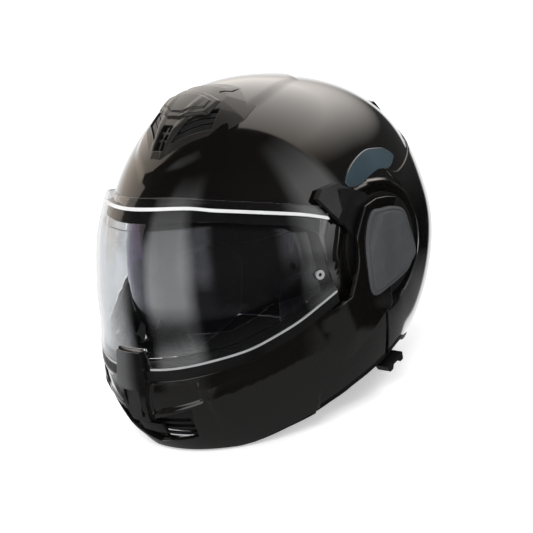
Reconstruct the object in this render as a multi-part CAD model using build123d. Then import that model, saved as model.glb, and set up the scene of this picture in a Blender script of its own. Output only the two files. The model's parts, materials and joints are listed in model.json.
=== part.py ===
from build123d import *
import math
import os

# A flip-front motorcycle helmet with a clear face shield and an inner sun visor, in millimetres.
# It is drawn about a centre line that runs across the helmet behind the wearer's temples, as
# distances forward (fwd) and up from that line, and it is then set down on its rim.
# The finished part has its origin on the floor below the middle of its length and width,
# +Z up, its face towards -Y and the wearer's left hand towards +X.

# Placing
REST_LEAN = 1.5
CENTRE_HEIGHT = 131.0
CENTRE_SETBACK = 13.9
HINGE_SETBACK = 6.0
OVERRUN = 60.0
SEAT_GAP = 0.3
SLIDE_GAP = 0.5

# Outer shell, its edge strip and its linings
SHELL_REACH = 160.0
SHELL_HALF_WIDTH = 121.5
SHELL_WALL = 4.0
SKIRT_RAISE = 1.0
BOSS_RADIUS = 54.0
BOSS_FACE = 116.0
RIM_STRIP_HEIGHT = 10.0
RIM_STRIP_PROUD = 1.0
FOAM_EDGE_LIFT = 28.0
CAVITY_REACH = 120.0
CAVITY_HALF_WIDTH = 87.0
CROWN_PAD_THICKNESS = 9.0
NECK_ROLL_THICKNESS = 14.0
CHEEK_PAD_INNER = 58.0
CRESCENT_RISE = 1.5

# Chin bar and the face shield, which follow one outer form
BAR_REACH = 180.0
BAR_HALF_WIDTH = 129.0
BAR_SIDE_WALL = 4.0
BAR_FRONT_WALL = 12.0
BAR_FOAM_THICKNESS = 10.0
BAR_FOAM_BACK = 100.0
BAR_FOAM_DROP = 12.0
BAR_STRIP_DROP = 4.0
PANEL_DEPTH = 1.6
HOUSING_RISE = 4.0
CURTAIN_THICKNESS = 2.0
GUARD_THICKNESS = 2.2
SHIELD_WALL = 2.2
SHIELD_SEAL_GAP = 0.6
BROW_SEAL_GAP = 2.2
BROW_SEAL_HEIGHT = 9.0
SILL_SEAL_WALL = 8.0
SILL_DEPTH = 9.0
SILL_LIP = 5.0
LENS_GAP = 0.4
LENS_THICKNESS = 1.2
LENS_PIN_RADIUS = 3.5
LENS_PIN_PROUD = 1.5
LENS_PIN_NEAR = 60.0

# Layers at the hinge, each measured outwards from the shell's boss
PLATE_THICKNESS = 2.7
PLATE_RADIUS = 44.0
SHIELD_ARM_THICKNESS = 2.4
SHIELD_ARM_GAP = 0.3
SHIELD_RING_RADIUS = 22.0
KNUCKLE_RISE = 5.0
KNUCKLE_NEAR = 63.0
BAR_ARM_GAP = 0.4
BAR_ARM_THICKNESS = 5.7
BAR_ARM_CLEAR_RADIUS = 63.0
COVER_THICKNESS = 3.5
COVER_BEVEL = 1.2
PIN_RADIUS = 9.0
PIN_CLEARANCE = 0.05
PIN_END_GAP = 0.2
CAP_RADIUS = 14.0
CAP_THICKNESS = 1.6
SCREW_RADIUS = 3.4
SCREW_HEAD = 1.5
SCREW_CIRCLE_RADIUS = 34.0
SCREW_COUNT = 3

# Sun visor, which turns about a line of its own, and its lever
SUN_FWD = 8.0
SUN_UP = -6.0
SUN_REACH = 137.0
SUN_HALF_WIDTH = 99.0
SUN_WALL = 2.0
SUN_CLEARANCE = 3.0
SUN_PIN_RADIUS = 4.0
SUN_BRACKET_RADIUS = 11.0
SUN_BRACKET_FACE = 100.0
SUN_POCKET_RADIUS = 25.0
SUN_PIN_END = 92.0
LEVER_FACE = 103.5
LEVER_THICKNESS = 3.0
LEVER_GUIDE_GAP = 0.4

# Vent on the crown
SHUTTER_GAP = 0.6
SHUTTER_THICKNESS = 2.4
SLAT_THICKNESS = 1.8
EXHAUST_RISE = 5.0

# Chin strap, its buckle and the latches
STRAP_FWD = 40.0
STRAP_WIDTH = 24.0
STRAP_THICKNESS = 2.0
STRAP_SIDE = 100.5
STRAP_DROP = 110.0
STRAP_BEND_SHARE = 0.75
ANCHOR_TOP = -90.0
ANCHOR_HEIGHT = 8.0
ANCHOR_THICKNESS = 10.0
RIVET_RADIUS = 3.5
RIVET_HEAD = 1.5
BUCKLE_START = 26.0
BUCKLE_LENGTH = 34.0
BUCKLE_WALL = 3.0
BUCKLE_HEIGHT = 9.0
BUCKLE_SLOT = 4.6
RATCHET_WIDTH = 12.0
RATCHET_TOOTH = 1.0
RATCHET_COUNT = 10
TAB_LENGTH = 18.0
TAB_THICKNESS = 2.0
LATCH_FWD = 88.0
LATCH_UP = -84.0
LATCH_PIN_RADIUS = 3.0
LATCH_PLATE_INNER = 92.0
LATCH_PLATE_OUTER = 97.0
LATCH_PIN_END = 100.0
LATCH_TRIM_GAP = 0.9
CATCH_SIZE = 7.5

# Chin vent and the release button
GRILLE_DEPTH = 4.5
GRILLE_THICKNESS = 2.5
GRILLE_STEP = 6.0
GRILLE_BAR = 2.4
GRILLE_COUNT = 4
CHIN_SHUTTER_DEPTH = 1.0
CHIN_SHUTTER_GAP = 0.8
BUTTON_BACK = 170.0
BUTTON_FACE = 186.5
BUTTON_TRAVEL = 4.0

# Share tables of the outer forms: angle up from straight ahead, and the share of the reach
crown_shares = {
    -80: 1.187, -55: 1.139, -30: 1.098, -10: 1.053, 10: 1.030, 26: 1.008, 45: 0.960, 65: 0.931,
    85: 0.886, 105: 0.865, 125: 0.900, 145: 0.948, 165: 0.965, 185: 1.000, 205: 1.010, 230: 1.020,
    250: 1.035, 268: 1.120,
}
skirt_shares = {
    -80: 1.160, -55: 1.110, -30: 1.070, -10: 1.020, 10: 0.990, 26: 0.980, 45: 0.940, 65: 0.910,
    85: 0.860, 105: 0.850, 125: 0.900, 145: 0.958, 165: 0.980, 185: 1.022, 205: 1.030, 230: 1.033,
    250: 1.044, 268: 1.120,
}
rim_shares = {angle: max(share, skirt_shares[angle]) for angle, share in crown_shares.items()}
scoop_shares = {
    -80: 1.000, -55: 1.000, -30: 1.000, -10: 1.000, 10: 1.000, 26: 1.026, 45: 1.002, 65: 0.974,
    85: 0.908, 105: 0.874, 125: 0.880, 145: 0.900, 165: 0.900, 185: 0.950, 205: 0.950, 230: 0.950,
    250: 0.950, 268: 1.000,
}
cavity_shares = {
    -80: 1.280, -55: 1.170, -30: 1.090, -10: 1.050, 10: 1.040, 26: 1.017, 45: 0.958, 65: 0.883,
    85: 0.817, 105: 0.808, 125: 0.858, 145: 0.933, 165: 0.967, 185: 1.008, 205: 1.025, 230: 1.050,
    250: 1.120, 268: 1.270,
}
bar_shares = {
    -80: 1.122, -60: 1.139, -48: 1.150, -40: 1.156, -34: 1.146, -28: 1.133, -21: 1.100, -14: 1.044,
    -5: 1.011, 5: 0.989, 15: 0.976, 28: 0.950, 45: 0.922, 75: 0.890, 120: 0.880, 165: 0.900,
    210: 0.980, 250: 1.080,
}
# How full each form is: 2 is an ellipse, more is squarer and less is more pointed
crown_fullness = {
    -92: 2.7, -55: 2.4, -30: 2.1, 0: 1.8, 26: 1.8, 45: 1.93, 90: 2.05, 140: 2.1, 240: 2.05, 268: 2.7,
}
bar_fullness = {-110: 2.5, -60: 2.45, -40: 2.1, -20: 1.85, 5: 1.75, 60: 1.75, 180: 2.0, 250: 2.5}
cavity_fullness = {-90: 2.3, 270: 2.3}
sun_fullness = {-90: 2.05, 270: 2.05}
station_shares = (0.0, 0.3, 0.55, 0.76, 0.89, 0.96)

# Side-view outlines of the shell, as (fwd, up) shares of its reach
rim_line_shares = [
    (0.49, -0.79), (0.44, -0.77), (0.375, -0.737), (0.294, -0.706), (0.20, -0.670), (-0.125, -0.585),
    (-0.25, -0.613), (-0.375, -0.656), (-0.50, -0.706), (-0.62, -0.765), (-0.70, -0.812), (-0.85, -0.86),
]
port_top_shares = [(1.44, 0.38), (0.94, 0.375), (0.80, 0.355), (0.64, 0.306), (0.45, 0.244), (0.37, 0.19)]
port_back_shares = [(0.35, 0.0), (0.35, -0.16), (0.38, -0.37), (0.465, -0.54), (0.515, -0.66), (0.53, -0.80)]
skirt_zone_shares = [
    (-0.22, 0.345), (-0.32, 0.31), (-0.61, 0.35), (-1.25, 0.45), (-1.25, -1.2), (-0.10, -1.2),
    (-0.20, -0.30), (-0.34, -0.10), (-0.36, 0.12),
]
crescent_shares = [
    (0.12, 0.369), (0.07, 0.42), (-0.012, 0.456), (-0.119, 0.475), (-0.206, 0.463), (-0.288, 0.438),
    (-0.338, 0.394), (-0.325, 0.381), (-0.25, 0.356), (-0.156, 0.375), (-0.056, 0.363), (0.055, 0.345),
]
exhaust_shares = [(-0.72, 0.56), (-1.05, 0.56), (-1.10, 0.37), (-0.80, 0.40)]
EXHAUST_HALF_WIDTH_SHARE = 0.22

# Plan outlines of the crown vent, as (side, fwd) shares of the shell's reach
scoop_plan_shares = [(0.05, 0.765), (0.24, 0.57), (0.30, 0.39), (0.287, 0.29), (0.15, 0.17)]
nose_mouth_shares = [(0.038, 0.735), (0.038, 0.61)]
side_mouth_shares = [(0.075, 0.67), (0.205, 0.545), (0.19, 0.46), (0.085, 0.57)]
tail_mouth_shares = [(0.10, 0.36), (0.18, 0.36), (0.155, 0.24), (0.09, 0.24)]
shutter_plan_shares = [(0.06, 0.535), (0.17, 0.43), (0.15, 0.39)]
slat_shares = (0.50, 0.545, 0.59)

# Side-view outlines of the chin bar and the shield, as (fwd, up) shares of the bar's reach
sill_shares = [
    (1.12, -0.306), (1.00, -0.306), (0.944, -0.30), (0.85, -0.283), (0.733, -0.261), (0.633, -0.228),
    (0.522, -0.189), (0.417, -0.144), (0.322, -0.106),
]
arm_front_shares = [(0.273, -0.153), (0.196, -0.028), (0.18, 0.048), (0.173, 0.116), (0.10, 0.225)]
arm_back_shares = [
    (0.017, 0.237), (-0.072, 0.22), (-0.178, 0.179), (-0.247, 0.143), (-0.273, 0.038), (-0.25, -0.077),
    (-0.198, -0.139), (-0.072, -0.225), (0.125, -0.327),
]
arm_foot_shares = [(0.25, -0.30), (0.30, -0.17)]
bar_rear_shares = [(0.239, -0.389), (0.328, -0.444), (0.389, -0.483), (0.433, -0.528), (0.458, -0.567)]
bar_bottom_shares = [
    (0.455, -0.64), (0.57, -0.672), (0.66, -0.705), (0.77, -0.737), (1.30, -0.737),
]
shield_back_shares = [(0.339, -0.039), (0.344, 0.028), (0.339, 0.094), (0.322, 0.156), (0.289, 0.211)]
shield_top_shares = [
    (0.278, 0.267), (0.383, 0.311), (0.522, 0.356), (0.689, 0.406), (0.811, 0.439), (1.12, 0.45),
]
knuckle_shares = [(0.313, 0.319), (0.277, 0.354), (0.198, 0.359), (0.129, 0.315), (0.057, 0.28), (0.237, 0.18)]
link_shares = [(0.237, 0.20), (0.198, 0.34), (0.129, 0.315), (0.057, 0.28), (-0.12, 0.08), (0.06, -0.06)]
lens_pin_shares = (0.389, -0.006)
lens_back_share = 0.389
cover_shares = [
    (0.072, 0.19), (-0.002, 0.188), (-0.074, 0.176), (-0.154, 0.139), (-0.182, 0.068), (-0.209, -0.072),
    (-0.167, -0.122), (-0.122, -0.152), (-0.002, -0.179), (0.13, -0.182), (0.144, -0.048), (0.13, 0.09),
]

# Front-view outlines of the chin, as (side, up) shares of the bar's reach
notch_shares = [(0.08, -0.21), (0.11, -0.31), (0.11, -0.42)]
housing_shares = [(0.072, -0.22), (0.092, -0.36), (0.055, -0.56)]
button_shares = [(0.045, -0.40), (0.035, -0.53)]
panel_shares = [(0.106, -0.37), (0.30, -0.365), (0.30, -0.465), (0.062, -0.525)]
vent_shares = [(0.05, -0.55), (0.256, -0.495), (0.222, -0.66), (0.0, -0.705)]
chin_shutter_shares = [(0.075, -0.585), (0.075, -0.64)]
guard_shares = [(0.04, -0.27), (0.13, -0.28), (0.20, -0.32), (0.20, -0.42)]

# Outlines inside the helmet: side views of the pads as shares of the cavity's reach
crown_pad_shares = [(0.79, 0.21), (0.79, 1.3), (-1.3, 1.3), (-1.3, 0.0), (-0.30, 0.0), (0.10, 0.21)]
cheek_pad_shares = [(0.52, -0.12), (0.58, -0.40), (0.42, -0.82), (-0.10, -0.70), (-0.22, -0.30), (-0.05, -0.10)]
neck_roll_shares = [(-0.45, -0.66), (-1.3, -0.66), (-1.3, -0.875), (-0.45, -0.80)]
sun_lens_shares = [
    (0.66, 0.66), (0.17, 0.14), (0.08, 0.13), (-0.11, 0.05), (-0.11, -0.06), (0.0, -0.11), (0.30, -0.10),
    (0.62, -0.12), (0.80, -0.235), (1.2, -0.235), (1.2, 0.66),
]
sun_nose_shares = [(0.0, -0.14), (0.10, -0.25), (0.14, -0.40)]
curtain_shares = [(0.42, 1.2), (0.42, 0.60), (0.30, 0.66), (0.0, 0.70)]
latch_plate_shares = [(-3.0, 0.6), (1.8, 0.6), (1.8, -1.0), (-3.0, -1.0)]
lever_plate_shares = [(0.03, -0.08), (0.14, -0.08), (0.14, 0.07), (0.03, 0.07)]
lever_foot_shares = [
    (0.01, -0.045), (0.02, -0.085), (0.045, -0.085), (0.06, -0.065), (0.10, -0.065), (0.115, -0.085),
    (0.14, -0.085), (0.155, -0.045),
]
guide_shares = [(-0.03, 0.02), (0.29, 0.02), (0.29, 0.075), (-0.03, 0.075)]
SUN_RECESS_LOW = -40
SUN_RECESS_HIGH = 88
SUN_RECESS_STEP = 32


def between(table, angle):
    """Value of an angle table at an angle, on straight lines between its entries."""
    known = sorted(table)
    if angle <= known[0]:
        return table[known[0]]
    for low, high in zip(known, known[1:]):
        if angle <= high:
            share = (angle - low) / (high - low)
            return table[low] * (1 - share) + table[high] * share
    return table[known[-1]]


def egg(reach, shares, half_width, fullness, wall=0.0, side_wall=None):
    """Closed egg-like solid whose side view is the share table, less a wall all round."""
    side_wall = wall if side_wall is None else side_wall
    half = half_width - side_wall
    stations = [-share for share in reversed(station_shares[1:])] + list(station_shares)
    wires = []
    for station in stations:
        points = []
        for angle in sorted(shares):
            power = between(fullness, angle)
            scale = (1 - abs(station) ** power) ** (1 / power)
            radius = (reach * shares[angle] - wall) * scale
            turn = math.radians(angle)
            points.append((half * station, -radius * math.cos(turn), radius * math.sin(turn)))
        wires.append(Wire([Spline(*points, periodic=True)]))
    return Solid.make_loft(wires)


def side_prism(points, near, far):
    """Solid whose outline, as (fwd, up) points, is drawn in side view."""
    flat = [(-fwd, up) for fwd, up in points]
    return extrude(Plane.YZ.offset(near) * make_face(Polyline(*flat, close=True)), amount=far - near)


def front_prism(points, back, front):
    """Solid whose outline, as (side, up) points, is drawn in front view."""
    return extrude(Plane.XZ.offset(back) * make_face(Polyline(*points, close=True)), amount=front - back)


def plan_prism(points, low, high):
    """Solid whose outline, as (side, fwd) points, is drawn in plan."""
    flat = [(side, -fwd) for side, fwd in points]
    return extrude(Plane.XY.offset(low) * make_face(Polyline(*flat, close=True)), amount=high - low)


def disc(radius, near, far, fwd=0.0, up=0.0):
    """Round bar along X."""
    return extrude(Plane.YZ.offset(near) * Pos(-fwd, up) * Circle(radius), amount=far - near)


def hinge_disc(radius, near, far):
    return disc(radius, near, far, -HINGE_SETBACK)


def scaled(shares, size):
    return [(a * size, b * size) for a, b in shares]


def mirrored(points):
    """Both sides of an outline drawn on the left, joined into one list."""
    return points + [(-side, other) for side, other in reversed(points) if side]


def other_side(shape):
    return shape.mirror(Plane.YZ)


def cut_both(body, tool):
    return body - tool - other_side(tool)


WIDE = SHELL_HALF_WIDTH + OVERRUN
FAR = 2 * SHELL_REACH
seat = Pos(0, CENTRE_SETBACK, CENTRE_HEIGHT) * Rot(-REST_LEAN, 0, 0)
floor_block = seat.inverse() * Pos(0, 0, -WIDE) * Box(4 * WIDE, 4 * WIDE, 2 * WIDE)

# Layers at the hinge
PLATE_FACE = BOSS_FACE + PLATE_THICKNESS
SHIELD_ARM_NEAR = PLATE_FACE + SHIELD_ARM_GAP
SHIELD_ARM_FAR = SHIELD_ARM_NEAR + SHIELD_ARM_THICKNESS
BAR_ARM_NEAR = SHIELD_ARM_FAR + BAR_ARM_GAP
BAR_ARM_FAR = BAR_ARM_NEAR + BAR_ARM_THICKNESS
PIN_END = BAR_ARM_FAR + PIN_END_GAP
COVER_FACE = BAR_ARM_FAR + COVER_THICKNESS
LEVER_FOOT_FACE = BOSS_FACE - SHELL_WALL / 2

os.makedirs("parts", exist_ok=True)


def save(name, *shapes):
    """Write one node, set down in the finished part's frame."""
    solids = [solid for shape in shapes for solid in (seat * shape).solids()]
    export_step(solids[0] if len(solids) == 1 else Compound(children=solids), "parts/" + name + ".step")


def save_pair(name, shape):
    save(name + "_left", shape)
    save(name + "_right", other_side(shape))


# Forms that several pieces share
def slab(half):
    """Everything within a distance of the middle plane."""
    return Box(2 * half, 4 * WIDE, 4 * WIDE)


def crown(wall=0.0):
    return egg(SHELL_REACH, crown_shares, SHELL_HALF_WIDTH, crown_fullness, wall)


def bar_form(wall=0.0, side_wall=None):
    return egg(BAR_REACH, bar_shares, BAR_HALF_WIDTH, bar_fullness, wall, side_wall)


def cavity(wall=0.0):
    return egg(CAVITY_REACH, cavity_shares, CAVITY_HALF_WIDTH, cavity_fullness, wall)


def sun_form(wall=0.0):
    even_shares = {angle: 1.0 for angle in range(-80, 280, 20)}
    body = egg(SUN_REACH, even_shares, SUN_HALF_WIDTH, sun_fullness, wall)
    return Pos(0, -SUN_FWD, SUN_UP) * body


def below_rim(lift=0.0):
    """Everything under the rim line, raised by a lift."""
    line = [(fwd, up + lift) for fwd, up in scaled(rim_line_shares, SHELL_REACH)]
    outline = [(FAR, -FAR), (FAR, line[0][1]), *line, (-FAR, line[-1][1]), (-FAR, -FAR)]
    return side_prism(outline, -WIDE, WIDE)


def face_port(grow=0.0):
    """Everything in front of the shell's front edge, moved back and up by a growth."""
    line = scaled(port_top_shares, SHELL_REACH) + scaled(port_back_shares, SHELL_REACH)
    line = [(fwd - grow, up + grow) for fwd, up in line]
    outline = line + [(line[-1][0], -FAR), (FAR, -FAR), (FAR, line[0][1])]
    return side_prism(outline, -WIDE, WIDE)


crown_outer = crown()
crown_inner = crown(SHELL_WALL) & slab(BOSS_FACE - SHELL_WALL)
form = bar_form()
bar_inner = bar_form(BAR_FRONT_WALL, BAR_SIDE_WALL)
shield_inner = bar_form(SHIELD_WALL)
cavity_outer = cavity(SEAT_GAP)


# Outer shell, with a raised skirt and a flat boss on each side that carries the hinge
def plan_cut(shares):
    return plan_prism(scaled(shares, SHELL_REACH), 0, FAR)


def crown_mouths():
    side = plan_cut(side_mouth_shares)
    tail = plan_cut(tail_mouth_shares)
    return [plan_cut(mirrored(nose_mouth_shares)), side, other_side(side), tail, other_side(tail)]


def screw_places():
    for step in range(SCREW_COUNT):
        turn = math.radians(90 + 360 * step / SCREW_COUNT)
        yield SCREW_CIRCLE_RADIUS * math.cos(turn) - HINGE_SETBACK, SCREW_CIRCLE_RADIUS * math.sin(turn)


def plate_screw(fwd, up):
    head = disc(SCREW_RADIUS, PLATE_FACE - SCREW_HEAD, PLATE_FACE, fwd, up)
    return head + disc(SCREW_RADIUS / 2, BOSS_FACE - SHELL_WALL / 2, PLATE_FACE, fwd, up)


plate_screws = [plate_screw(fwd, up) for fwd, up in screw_places()]


def outer_shell():
    skirt = egg(SHELL_REACH, skirt_shares, SHELL_HALF_WIDTH + SKIRT_RAISE, crown_fullness)
    skirt = skirt & side_prism(scaled(skirt_zone_shares, SHELL_REACH), -WIDE, WIDE)
    boss = hinge_disc(BOSS_RADIUS, SHELL_HALF_WIDTH * station_shares[3], BOSS_FACE)
    body = crown_outer + skirt + boss + other_side(boss)
    body = cut_both(body, hinge_disc(BOSS_RADIUS, BOSS_FACE, WIDE))
    body = body - crown_inner - face_port() - below_rim(RIM_STRIP_HEIGHT)
    for mouth in crown_mouths():
        body = body - mouth
    for screw in plate_screws:
        body = cut_both(body, screw)
    return body


shell = outer_shell()
save("outer_shell", shell)


def rim_trim():
    half = SHELL_HALF_WIDTH + SKIRT_RAISE + RIM_STRIP_PROUD
    outer = egg(SHELL_REACH, rim_shares, half, crown_fullness, -RIM_STRIP_PROUD, 0)
    body = (outer - crown_inner) & (below_rim(RIM_STRIP_HEIGHT) - below_rim())
    return body - face_port() - floor_block


save("rim_trim", rim_trim())


def brow_seal():
    line = scaled(port_top_shares, SHELL_REACH)
    top = [(fwd - BROW_SEAL_HEIGHT / 2, up + BROW_SEAL_HEIGHT) for fwd, up in reversed(line)]
    layer = bar_form(SHIELD_WALL + BROW_SEAL_GAP) - crown_outer
    return layer & side_prism(line + top, -WIDE, WIDE)


save("brow_seal", brow_seal())


def crescent():
    layer = (crown(-CRESCENT_RISE) - crown_outer) & side_prism(scaled(crescent_shares, SHELL_REACH), 0, WIDE)
    return layer - hinge_disc(BOSS_RADIUS + SEAT_GAP, 0, WIDE)


save_pair("side_crescent", crescent())


# Hinge plate on each side of the shell, with the pin that everything turns on
def side_plate():
    body = hinge_disc(PLATE_RADIUS, BOSS_FACE, PLATE_FACE) + hinge_disc(PIN_RADIUS, PLATE_FACE, PIN_END)
    for screw in plate_screws:
        body = body - screw
    return body


save_pair("side_plate", side_plate())
save("side_plate_screws", *plate_screws, *[other_side(screw) for screw in plate_screws])
pivot_cap = hinge_disc(CAP_RADIUS, PIN_END, PIN_END + CAP_THICKNESS)
save("pivot_caps", pivot_cap, other_side(pivot_cap))


# Vent on the crown: a raised scoop with slatted mouths and a sliding shutter on top
def scoop_form(wall=0.0):
    return egg(SHELL_REACH, scoop_shares, SHELL_HALF_WIDTH, crown_fullness, wall)


scoop_outer = scoop_form()
scoop_layer = scoop_outer - crown_outer


def top_scoop():
    body = scoop_layer & plan_cut(mirrored(scoop_plan_shares))
    for mouth in crown_mouths():
        body = body - mouth
    return body


def louvres():
    slats = []
    for share in slat_shares:
        fwd = share * SHELL_REACH
        strip = plan_prism([(0, fwd), (WIDE, fwd), (WIDE, fwd + SLAT_THICKNESS), (0, fwd + SLAT_THICKNESS)], 0, FAR)
        slats.append(scoop_layer & plan_cut(side_mouth_shares) & strip)
    return slats


def shutter():
    layer = scoop_form(-SHUTTER_GAP - SHUTTER_THICKNESS) - scoop_form(-SHUTTER_GAP)
    return layer & plan_cut(mirrored(shutter_plan_shares))


save("top_vent_scoop", top_scoop())
slats = louvres()
save("top_vent_louvres", *slats, *[other_side(slat) for slat in slats])
save("top_vent_slider", shutter())


def rear_exhaust():
    layer = crown(-EXHAUST_RISE) & side_prism(scaled(exhaust_shares, SHELL_REACH), -WIDE, WIDE)
    return (layer & slab(EXHAUST_HALF_WIDTH_SHARE * SHELL_REACH)) - crown_outer - shell


save("rear_exhaust", rear_exhaust())


# Sun visor between the shell and the foam, with its brackets
def sun_sector():
    """Wedge, in side view, that the sun visor sweeps."""
    points = [(SUN_FWD, SUN_UP)]
    for angle in range(SUN_RECESS_LOW, SUN_RECESS_HIGH + 1, SUN_RECESS_STEP):
        turn = math.radians(angle)
        points.append((SUN_FWD + FAR * math.cos(turn), SUN_UP + FAR * math.sin(turn)))
    return side_prism(points, -WIDE, WIDE)


def sun_visor():
    shape = (sun_form() - sun_form(SUN_WALL))
    lens = [(SUN_FWD + fwd, SUN_UP + up) for fwd, up in scaled(sun_lens_shares, SUN_REACH)]
    shape = shape & side_prism(lens, -WIDE, WIDE)
    nose = [(side, SUN_UP + up) for side, up in scaled(sun_nose_shares, SUN_REACH)]
    shape = shape - front_prism(mirrored(nose), 0, FAR)
    return cut_both(shape, disc(SUN_PIN_RADIUS + PIN_CLEARANCE, 0, WIDE, SUN_FWD, SUN_UP))


def sun_bracket():
    body = disc(SUN_BRACKET_RADIUS, SUN_BRACKET_FACE, BOSS_FACE - SHELL_WALL, SUN_FWD, SUN_UP)
    return body + disc(SUN_PIN_RADIUS, SUN_PIN_END, SUN_BRACKET_FACE, SUN_FWD, SUN_UP)


save("sun_visor", sun_visor())
save_pair("sun_visor_bracket", sun_bracket())


# Foam liner and the comfort pads inside it
def latch_plate_outline():
    return [(LATCH_FWD + fwd, LATCH_UP + up) for fwd, up in scaled(latch_plate_shares, CATCH_SIZE)]


def foam_liner():
    outer = crown(SHELL_WALL + SEAT_GAP) & slab(BOSS_FACE - SHELL_WALL - SEAT_GAP)
    body = outer - cavity() - face_port(SEAT_GAP) - below_rim(FOAM_EDGE_LIFT)
    body = body - (sun_sector() - sun_form(SUN_WALL + SUN_CLEARANCE))
    pocket = disc(SUN_POCKET_RADIUS, SUN_PIN_END - SUN_CLEARANCE, WIDE, SUN_FWD, SUN_UP)
    body = cut_both(body, pocket)
    return cut_both(body, side_prism(latch_plate_outline(), LATCH_PLATE_INNER - SLIDE_GAP, WIDE))


def pad(shares, thickness):
    layer = cavity_outer - cavity(SEAT_GAP + thickness)
    return layer & side_prism(scaled(shares, CAVITY_REACH), -WIDE, WIDE)


def cheek_pad():
    return cavity_outer & side_prism(scaled(cheek_pad_shares, CAVITY_REACH), CHEEK_PAD_INNER, WIDE)


save("foam_liner", foam_liner())
save("crown_pad", pad(crown_pad_shares, CROWN_PAD_THICKNESS))
save("neck_roll", pad(neck_roll_shares, NECK_ROLL_THICKNESS))
save_pair("cheek_pad", cheek_pad())


# Lever of the sun visor, which slides along the left of the rim
def on_rim(points):
    """Points given along the straight front part of the rim, and out from it, in side view."""
    (front_fwd, front_up), (back_fwd, back_up) = scaled(rim_line_shares[4:6], SHELL_REACH)
    length = math.hypot(front_fwd - back_fwd, front_up - back_up)
    run = ((front_fwd - back_fwd) / length, (front_up - back_up) / length)
    return [(back_fwd + a * run[0] - b * run[1], back_up + a * run[1] + b * run[0]) for a, b in points]


def sun_lever():
    plate = side_prism(on_rim(scaled(lever_plate_shares, SHELL_REACH)), LEVER_FACE - LEVER_THICKNESS, LEVER_FACE)
    foot = on_rim(scaled(lever_foot_shares, SHELL_REACH))
    return plate + side_prism(foot, LEVER_FACE - LEVER_THICKNESS, LEVER_FOOT_FACE)


def lever_guide():
    outline = on_rim(scaled(guide_shares, SHELL_REACH))
    return crown_inner & side_prism(outline, LEVER_FACE + LEVER_GUIDE_GAP, WIDE)


save("sun_visor_lever", sun_lever())
save("lever_guide", lever_guide())


# Chin strap, its anchors and its buckle
def strap_line(lift):
    """Inner or outer line of the strap from its anchor to the middle, in front view."""
    side, drop = STRAP_SIDE - lift, STRAP_DROP - lift
    bend = side - STRAP_BEND_SHARE * STRAP_WIDTH
    return [(side, ANCHOR_TOP), (side, ANCHOR_TOP - ANCHOR_HEIGHT), (bend, STRAP_THICKNESS - drop),
            (bend - STRAP_BEND_SHARE * STRAP_WIDTH, -drop)]


def strap_run(end):
    outer = strap_line(0)
    inner = strap_line(STRAP_THICKNESS)
    outline = outer + [(end, -STRAP_DROP), (end, -STRAP_DROP + STRAP_THICKNESS)] + list(reversed(inner))
    return front_prism(outline, STRAP_FWD - STRAP_WIDTH / 2, STRAP_FWD + STRAP_WIDTH / 2)


BUCKLE_END = BUCKLE_START + BUCKLE_LENGTH
STRAP_MIDDLE = -STRAP_DROP + STRAP_THICKNESS / 2


def buckle_block(start, end, width, low, high):
    size = Box(end - start, width, high - low)
    return Pos((start + end) / 2, -STRAP_FWD, (low + high) / 2) * size


def strap_anchor():
    low = ANCHOR_TOP - ANCHOR_HEIGHT
    body = buckle_block(STRAP_SIDE, STRAP_SIDE + ANCHOR_THICKNESS, STRAP_WIDTH, low, ANCHOR_TOP)
    return body & crown_inner


def strap_rivet():
    middle = ANCHOR_TOP - ANCHOR_HEIGHT / 2
    inner = STRAP_SIDE - STRAP_THICKNESS
    return disc(RIVET_RADIUS, inner - RIVET_HEAD, inner, STRAP_FWD, middle)


def buckle_frame():
    wide = STRAP_WIDTH + 2 * BUCKLE_WALL
    low = STRAP_MIDDLE - BUCKLE_HEIGHT / 2
    body = buckle_block(BUCKLE_START, BUCKLE_END, wide, low, low + BUCKLE_HEIGHT)
    slot = buckle_block(BUCKLE_START - OVERRUN, BUCKLE_END - BUCKLE_WALL, STRAP_WIDTH + SLIDE_GAP,
                        STRAP_MIDDLE - BUCKLE_SLOT / 2, STRAP_MIDDLE + BUCKLE_SLOT / 2)
    return body - slot


def ratchet_strip():
    start = BUCKLE_START + BUCKLE_WALL
    low = -STRAP_DROP - RATCHET_TOOTH
    points = [(start, -STRAP_DROP)]
    step = (BUCKLE_LENGTH - 3 * BUCKLE_WALL) / RATCHET_COUNT
    for index in range(RATCHET_COUNT):
        points.append((start + index * step, low))
        points.append((start + (index + 1) * step, -STRAP_DROP - RATCHET_TOOTH / 4))
    points.append((start + RATCHET_COUNT * step, -STRAP_DROP))
    return front_prism(points, STRAP_FWD - RATCHET_WIDTH / 2, STRAP_FWD + RATCHET_WIDTH / 2)


def buckle_tab():
    top = STRAP_MIDDLE - BUCKLE_HEIGHT / 2 - SLIDE_GAP
    body = buckle_block(BUCKLE_END - TAB_LENGTH, BUCKLE_END, STRAP_WIDTH, top - TAB_THICKNESS, top)
    pivot = Rot(90, 0, 0) * Cylinder(TAB_THICKNESS / 2, STRAP_WIDTH)
    return body + Pos(BUCKLE_END, -STRAP_FWD, top - TAB_THICKNESS / 2) * pivot


strap_solid = strap_run(BUCKLE_END)
strap_tail = other_side(strap_run(-BUCKLE_END + 2 * BUCKLE_WALL))
save("chin_strap_left", strap_solid)
save("chin_strap_right", strap_tail)
anchor = strap_anchor()
save("strap_anchors", anchor, other_side(anchor))
rivet = strap_rivet()
save("strap_rivets", rivet, other_side(rivet))
save("buckle_frame", buckle_frame())
save("ratchet_strip", ratchet_strip())
save("buckle_tab", buckle_tab())


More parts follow.
